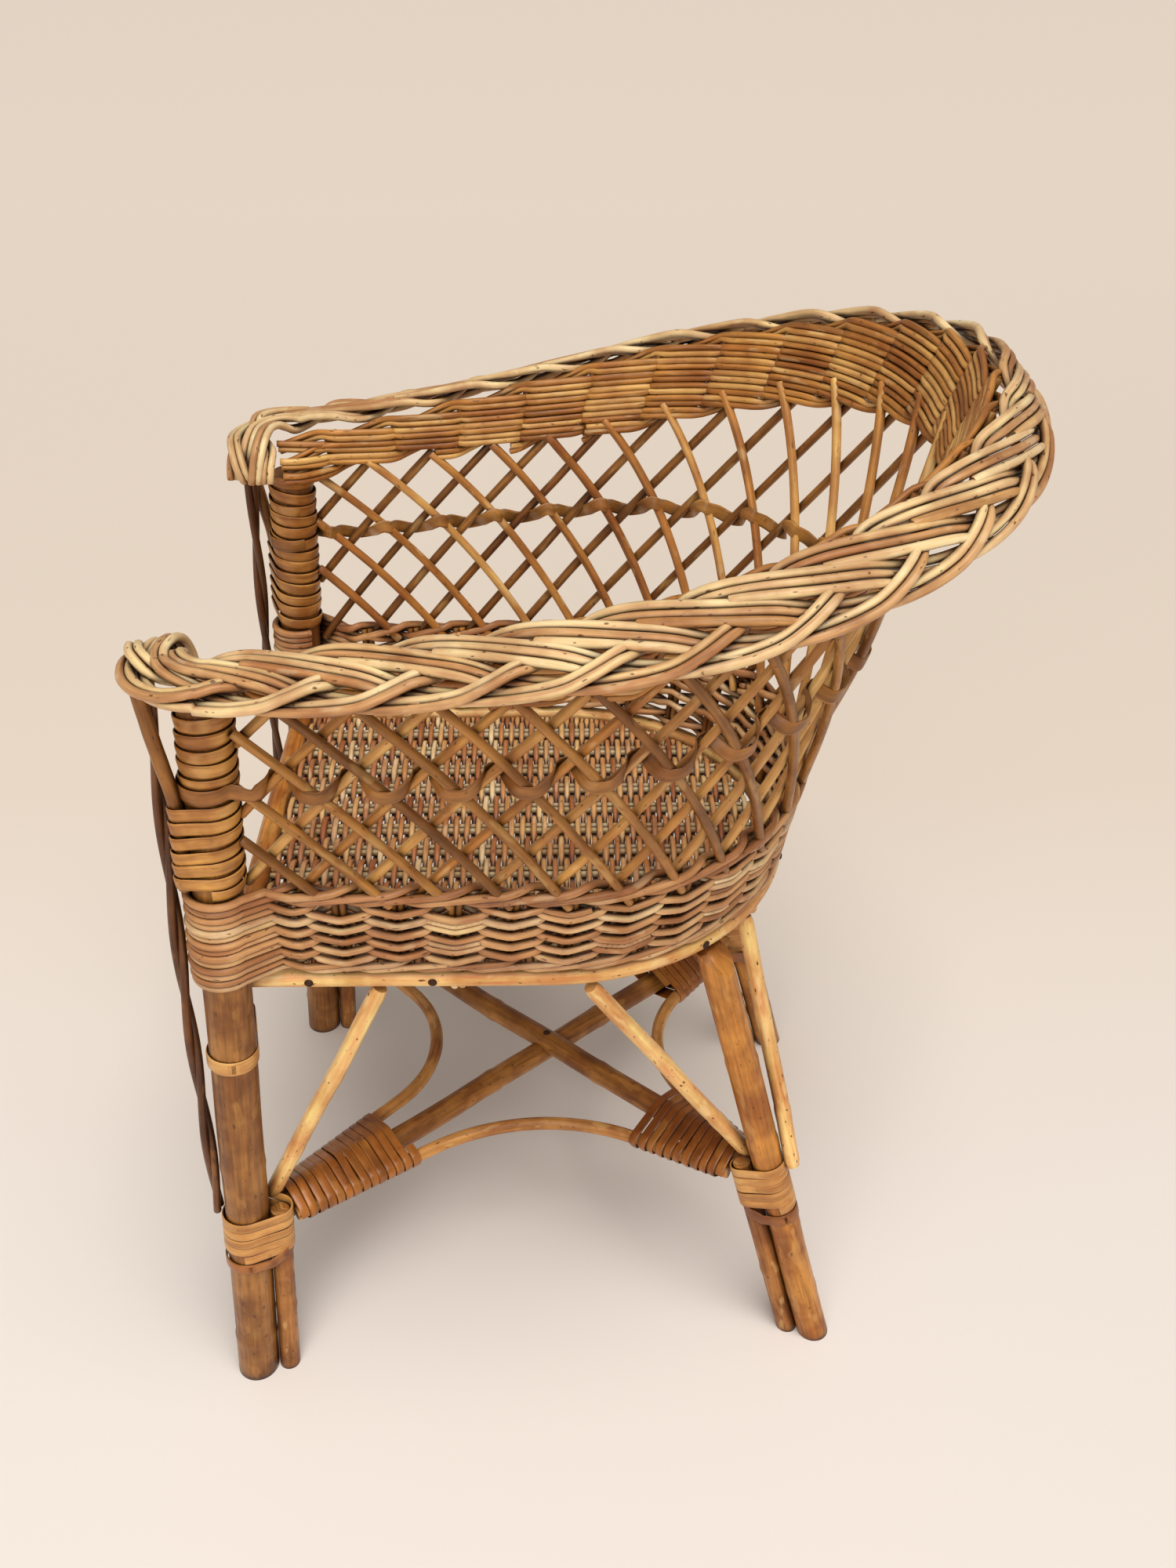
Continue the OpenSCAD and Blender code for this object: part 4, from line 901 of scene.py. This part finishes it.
def rowsAt(t): return mix(rows["front"], rows["back"], clamp(stepsFromArm(t) / rows["growth"], 0, 1))
def rowZ(t, row): return rimAt(t).z - wall["firstRow"] - rows["pitch"] * row
def latticeTop(t): return rowZ(t, rowsAt(t) - 1) - rows["height"] / 2 - 0.3 - 2.25 + 0.8
def twistZ(t): return wall["twist"] + wall["twistRise"] * (rimAt(t).z - rim["height"])


def rodLine(middle, lean):
    # a lattice rod, followed from the band up into the rows, as (step, height) pairs
    crossShare = (twistZ(middle) - latticeLow) / (latticeTop(middle) - latticeLow)
    spots = []
    for i in range(-8, 97):
        q = i / 88
        t = middle + lean * lattice["span"] * lattice["step"] * (q - crossShare)
        z = latticeLow + q * (latticeTop(t) - latticeLow)
        if 0 < t < wall["lastStep"] and wallAt(t, z).y > postAt(z).y + post["thick"] / 2 + 0.6:
            spots.append((t, z))
    return spots


for name, lean, shift, nodeName, finishName in (("latticeOuter", -1, 0.0, "lattice_outer", "latticeWillow"),
                                                ("latticeInner", 1, 0.5, "lattice_inner", "goldenWillow")):
    lines = []
    for k in range(-3, 27):
        spots = rodLine(lattice["first"] + (k + shift) * lattice["step"], lean)
        if len(spots) > 20:
            spots = spots[::4] + [spots[-1]] if (len(spots) - 1) % 4 else spots[::4]
            lines.append(([onWall(t, z, -lean * lattice["offset"]) for t, z in spots],
                          unlike(lattice["rodR"], 0.94, 0.12, 0.05)))
    placed(rods(name, lines, 10, 4), finishName, "wall_willow", nodeName)

# skein that dips in front of each outer rod and rises behind each inner one, tied round the posts at its ends
twist = {"width": 7.0, "thick": 0.8, "sway": 3.5, "out": 5.3, "post": 2.3, "fromArm": 6, "spacing": 2.2}
# share of a step, height, distance out and lean of the skein's face
sway = ((0.10, -1.0, 1.05, -0.1), (0.26, -0.65, 1.0, 0.15), (0.38, 0.0, 0.3, 0.35), (0.48, 0.55, -0.95, 0.3),
        (0.60, 0.95, -1.08, 0.2), (0.70, 0.6, -1.02, 0.0), (0.80, -0.2, -0.2, 0.0), (0.92, -0.8, 0.8, -0.1))
spots = []
for k in range(-1, 24):
    for share, rise, out, lean in sway:
        t = lattice["first"] + lattice["step"] * (k + share)
        if stepsFromArm(t) > twist["fromArm"]:
            spots.append((onWall(t, twistZ(t) + rise * twist["sway"], out * twist["out"]),
                          (wallOut(t, twistZ(t)) - Vector((0, 0, lean))).normalized()))
for side in sideNames:
    turns = aroundPost(twistZ(0), side, twist["post"] - 0.4, 0.4)
    ends = [(p, (p - both(postAt(twistZ(0)), side)).normalized()) for p in turns[::2]]
    spots = ends + spots if side > 0 else spots + ends[::-1]
points = curvePoints([spot for spot, _ in spots], twist["spacing"])
upLine = []
for (a, upA), (b, upB) in zip(spots, spots[1:]):
    steps = max(1, round((b - a).length / twist["spacing"]))
    upLine += [upA.lerp(upB, k / steps) for k in range(steps)]
upLine.append(spots[-1][1])
placed(strips("twistRow", [(points, upLine)], twist), "oliveSkein", "cane_strip", "twist_row")
print("lattice made")

# rows under the rim

def rowStart(row): return 1.5 if row < 3 else 16 * (row - 1)


def besidePost(t, row):
    # the lower rows end on the inner side of the posts' tops
    near = 1 - clamp((stepsFromArm(t) - 3) / 11, 0, 1)
    return rows["inwards"][row] * near * near * (3 - 2 * near)


def rimRowSpot(t, row, k):
    # each row is two pairs of rods, and while one pair runs in front, the other runs behind
    u = (t - latticeStep(0.25)) / (2 * lattice["step"]) + 0.5 * (row % 2) + k // 2 / 2
    rise, out = waleSpot(u, 0.56)
    pairOff = (k % 2 - 0.5) * 2 * rows["beside"] * mix(0.6, 1, abs(out))
    return rowZ(t, row) + rows["climb"] * rise + pairOff, -rows["out"] * out - besidePost(t, row)


lines = [(wallRow(lambda t: rimRowSpot(t, row, k), rowStart(row), wall["lastStep"] - rowStart(row), 1.0),
          unlike(rows["rodR"], 0.92, 0.16)) for row in range(rows["back"]) for k in range(4)]
placed(rods("rimRows", lines), "goldenWillow", "wall_willow", "wale_rows_1", "wale_rows_2", "wale_rows_3")
# upright rods between the rows, which carry on from the lattice into the plait
lines = []
for t in [latticeStep(k + 0.25) + s for k in range(-1, 25) for s in (-0.8, 0.8)]:
    if stepsFromArm(t) > 3:
        rowsHere = sum(rowStart(row) < stepsFromArm(t) for row in range(rows["back"]))
        low, high = rowZ(t, rowsHere - 1), rimAt(t).z - 6
        lines.append(([onWall(t, z, 0) for z in spread(low, high, 2)], rows["stakeR"]))
placed(rods("rimStakes", lines, 8, 4), "latticeWillow", "wall_willow")
print("rows under the rim made")

# plaited rim
plait = {"width": 39, "tiltFront": 4, "tiltBack": 53, "turnR": 24, "curlR": 20, "speed": 2.8, "rodR": 2.05,
         "cycle": 200, "groups": 5, "spacing": 4.15, "shift": 0.06, "marks": 700, "step": 3, "clearEnd": 30}
turnStart = wall["sideSteps"] * (wall["footY"] - rim["frontY"]) / (rim["sideY"] - rim["frontY"])
turnSteps, curlSteps = (plait[r] * math.pi / 2 / plait["speed"] for r in ("turnR", "curlR"))
plaitFrom = turnStart - turnSteps - curlSteps


def plaitSide(t):
    a, b = rimAt(t - 1), rimAt(t + 1)
    out = Vector((b.y - a.y, a.x - b.x, 0)).normalized()
    tilt = mix(plait["tiltFront"], plait["tiltBack"], stepsFromArm(t) / (wall["lastStep"] / 2))
    across = Vector((out.x * cosD(tilt), out.y * cosD(tilt), -sinD(tilt)))
    up = Vector((out.x * sinD(tilt), out.y * sinD(tilt), cosD(tilt)))
    return rimAt(t) + across * plait["width"] / 2, across, up


def plaitTurn(f):
    out = heading(-90 * f)
    return plaitSide(turnStart)[0] - Vector((plait["turnR"], 0, 0)) + out * plait["turnR"], out, Vector((0, 0, 1))


def plaitCurl(f):
    c, s = cosD(90 * f), sinD(90 * f)
    down = Vector((-plait["curlR"] * s, 0, plait["curlR"] * (c - 1)))
    return plaitTurn(1)[0] + down, Vector((0, -1, 0)), Vector((-s, 0, c))


def plaitFrame(t):
    # the plait's middle, the direction across it and the one out of its face
    if t > wall["lastStep"] / 2:
        return tuple(flip(v) for v in plaitFrame(wall["lastStep"] - t))
    if t > turnStart:
        return plaitSide(t)
    if t > turnStart - turnSteps:
        return plaitTurn((turnStart - t) / turnSteps)
    return plaitCurl(min(1, (turnStart - turnSteps - t) / curlSteps))


# how a group of rods travels: share of its cycle, distance from the inner edge, height. It comes up at the
# inner edge, runs over the plait outwards, dips under a group, turns at the outer edge, comes back over one
# group and under the next two.
groupWay = [(0.00, 5.2, -2.0), (0.06, 5.8, 1.4), (0.14, 8.6, 2.3), (0.26, 14.8, 2.3), (0.36, 20.2, 1.0),
            (0.45, 26.0, -3.6), (0.54, 31.2, -4.2), (0.64, 34.4, -3.2), (0.75, 34.2, -1.4), (0.81, 30.6, 1.2),
            (0.86, 25.4, 2.2), (0.895, 20.5, -1.2), (0.93, 14.5, -3.2), (0.96, 9.8, -3.6)]


def wayStop(i):
    turn, place = divmod(i, len(groupWay))
    return Vector((groupWay[place][0] + turn, groupWay[place][1], groupWay[place][2]))


def wayAt(u):
    u = u % 1
    k = max(i for i, stop in enumerate(groupWay) if stop[0] <= u)
    before, a, b, after = (wayStop(i) for i in range(k - 1, k + 3))
    f = (u - a.x) / (b.x - a.x)
    rises = [(b - before) * ((b.x - a.x) / (b.x - before.x)), (after - a) * ((b.x - a.x) / (after.x - a.x))]
    spot = (a * (2 * f ** 3 - 3 * f ** 2 + 1) + rises[0] * (f ** 3 - 2 * f ** 2 + f)
            + b * (3 * f ** 2 - 2 * f ** 3) + rises[1] * (f ** 3 - f ** 2))
    return spot.y, spot.z


# length along the plait's middle for each place on it
places = spread(plaitFrom, wall["lastStep"] - plaitFrom, plait["marks"])
lengths = runLengths([plaitFrame(t)[0] for t in places])
whole = lengths[-1]
print("plait length", round(whole))


def placeAt(length):
    length = clamp(length, 0, whole)
    k = next(i for i in range(plait["marks"]) if lengths[i + 1] >= length - 1e-6)
    return mix(places[k], places[k + 1], (length - lengths[k]) / max(1e-9, lengths[k + 1] - lengths[k]))


def plaitSpot(length, group, rod):
    # rod 0 and 1 run all the way, rod 2 lies beside them on the way out
    u = length / plait["cycle"] + group / plait["groups"] + plait["shift"]
    lateral, height = wayAt(u)
    slope = (wayAt(u + 0.01)[0] - wayAt(u - 0.01)[0]) / (0.02 * plait["cycle"])
    middle, across, up = plaitFrame(placeAt(length))
    # the plait narrows and thickens towards the arms' fronts
    ends = clamp(min(length, whole - length) / 85, 0, 1)
    inwards = (lateral - plait["width"] / 2) * mix(0.66, 1, ends * ends)
    beside = (rod - 0.5) * plait["spacing"] * math.sqrt(1 + slope * slope)
    lift = 0.35 * math.sin(rod * 2.1 + length / 17)
    return middle + across * (inwards + beside * mix(0.8, 1, ends)) + up * (height * mix(1.3, 1, ends) + lift)


def plaitRod(start, end, group, rod):
    return [plaitSpot(d, group, rod) for d in spread(start, end, int((end - start) / plait["step"]))]


lines = []
for group in range(plait["groups"]):
    for rod in (0, 1):
        lines.append((plaitRod(0, whole, group, rod), unlike(plait["rodR"], 0.95, 0.1, 0.08)))
    for turn in range(-1, int(whole / plait["cycle"]) + 1):
        start = (turn + 0.075 + 0.02 * draw.random() - plait["shift"] - group / plait["groups"]) * plait["cycle"]
        end = start + 0.39 * plait["cycle"]
        if start > plait["clearEnd"] and end < whole - plait["clearEnd"]:
            points = plaitRod(start, end, group, 2)
            thick = plait["rodR"] * (1.0 + 0.14 * draw.random())
            lines.append((points, lambda f, thick=thick: thick * (1.06 - 0.2 * f)))
placed(rods("rimPlait", lines, 9), "plaitWillow", "wall_willow", "rim_strand_1", "rim_strand_2", "rim_strand_3")
print("rim plaited")

# rods in front of the posts, and nails
armRod = {"thick": 4.4, "low": 127.5, "bend": 277.6, "high": 444, "near": 13.6, "out": 19.9, "far": 22.5, "turn": 21}
# height of the arm's stick, and its place to the side of and in front of the post's axis
armStick = ((446, 8.2, 25.5), (426, 8.2, 22), (406, 8.2, 17.8), (388, 8.1, 14), (370, 8, 12.6), (341, 8, 12.6))


def awayAt(z):
    if z < armRod["bend"]:
        return mix(armRod["near"], armRod["out"], (z - armRod["low"]) / (armRod["bend"] - armRod["low"]))
    return mix(armRod["out"], armRod["far"], (z - armRod["bend"]) / (armRod["high"] - armRod["bend"]))


for side, sideName in sideNames.items():
    lines = []
    for phase in (0, math.pi):
        points = []
        for z in spread(armRod["low"], armRod["high"], 60):
            turn = z / armRod["turn"] + phase
            shift = Vector((2.1 * math.cos(turn), -awayAt(z) - 0.6 + 1.6 * math.sin(turn), 0))
            points.append(both(postAt(z) + shift, side))
        lines.append((points, wavy(armRod["thick"] / 2 * 0.94, draw.random() * 60)))
    placed(rods("armRods_" + sideName, lines, 12), "darkWillow", "dark_willow", "arm_rods_" + sideName)
    # a thicker stick from the arm's front that the skein ties to the post
    points = [both(postAt(z) + Vector((x, -away, 0)), side) for z, x, away in armStick]
    placed(rods("armStick_" + sideName, [(points, wavy(skein["stickR"], draw.random() * 60))], 14, 3),
           "latticeWillow", "bark_stick")

# Nail steel: rusted dark brown, dull
nailSteel = bpy.data.materials.new("rustedNail")
nailSteel.use_nodes = True
tree = nailSteel.node_tree
shader = tree.nodes["Principled BSDF"]
rust = cloud(tree, node(tree, "ShaderNodeTexCoord", {}).outputs["Object"], 900, 3)
fill(tree, shader.inputs["Base Color"], ramp(tree, rust, [(0.35, "#2a1d16"), (0.7, "#5a3a26")]))
fill(tree, shader.inputs["Roughness"], ramp(tree, rust, [(0.3, 0.45), (0.7, 0.8)]))
fill(tree, shader.inputs["Metallic"], 0.7)
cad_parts["hoop_nails"].data.materials.clear()
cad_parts["hoop_nails"].data.materials.append(nailSteel)
print("arm rods and nails made")

# floor, light and camera
deselectAll()
bpy.ops.mesh.primitive_plane_add(size=40, location=(0, 0, 0))
floor = bpy.context.object
floor.name = "floor"
# Studio paper: matt, peach far off and paler close to the camera
paper = bpy.data.materials.new("studioPaper")
paper.use_nodes = True
tree = paper.node_tree
shader = tree.nodes["Principled BSDF"]
place = node(tree, "ShaderNodeTexCoord", {}).outputs["Object"]
spot = node(tree, "ShaderNodeSeparateXYZ", {"Vector": place}).outputs["X"]
nearness = node(tree, "ShaderNodeMapRange", {"Value": spot, "From Min": -2.5, "From Max": 0.08}).outputs[0]
paperTones = [(0.0, "#e5d7cb"), (0.62, "#dfd1c4"), (0.8, "#dfd1c4"), (1.0, "#e2dad5")]
fill(tree, shader.inputs["Base Color"], ramp(tree, nearness, paperTones))
fill(tree, shader.inputs["Roughness"], 0.85)
fill(tree, shader.inputs["Specular IOR Level"], 0.2)
floor.data.materials.append(paper)

scene = bpy.context.scene
scene.view_settings.view_transform = "Standard"
scene.world = bpy.data.worlds.new("studio")
scene.world.use_nodes = True
background = scene.world.node_tree.nodes["Background"].inputs
background["Color"].default_value = colour("#f4f2ee")
background["Strength"].default_value = 0.33

# the main light falls evenly on chair and floor from above, a little from the front and the chair's right
bpy.ops.object.light_add(type="SUN", location=(0, 0, 3), rotation=(math.radians(-9), math.radians(18), 0))
keyLight = bpy.context.object
keyLight.name = "keyLight"
keyLight.data.energy = 2.35
keyLight.data.angle = math.radians(38)
keyLight.data.color = colour("#fffcf6")[:3]
# and a weak one from the camera's side
lampPlace, lampTarget = Vector((1.6, -0.3, 1.2)), Vector((0, 0, 0.3))
bpy.ops.object.light_add(type="AREA", location=lampPlace)
frontLight = bpy.context.object
frontLight.name = "frontLight"
frontLight.data.shape = "RECTANGLE"
frontLight.data.size, frontLight.data.size_y = 1.2, 1.2
frontLight.data.energy = 14
frontLight.data.color = colour("#fffaf2")[:3]
frontLight.rotation_euler = (lampTarget - lampPlace).to_track_quat("-Z", "Y").to_euler()

view = {"place": Vector((660.8, -12.8, 759.3)) * mm, "yaw": 0.012, "pitch": 0.596, "roll": 0.002, "lens": 34.374,
        "shiftX": 0.0005, "shiftY": -0.0065}
flat = math.cos(view["pitch"])
forward = Vector((-math.cos(view["yaw"]) * flat, math.sin(view["yaw"]) * flat, -math.sin(view["pitch"])))
rightFlat = forward.cross(Vector((0, 0, 1))).normalized()
upFlat = rightFlat.cross(forward)
right = rightFlat * math.cos(view["roll"]) + upFlat * math.sin(view["roll"])
upward = upFlat * math.cos(view["roll"]) - rightFlat * math.sin(view["roll"])
bpy.ops.object.camera_add(location=view["place"])
camera = bpy.context.object
camera.matrix_world = Matrix.Translation(view["place"]) @ Matrix((right, upward, -forward)).transposed().to_4x4()
camera.data.sensor_fit = "VERTICAL"
camera.data.sensor_height = 36
camera.data.lens = view["lens"]
camera.data.shift_x, camera.data.shift_y = view["shiftX"], view["shiftY"]
scene.camera = camera
print("floor, lamps and camera placed")
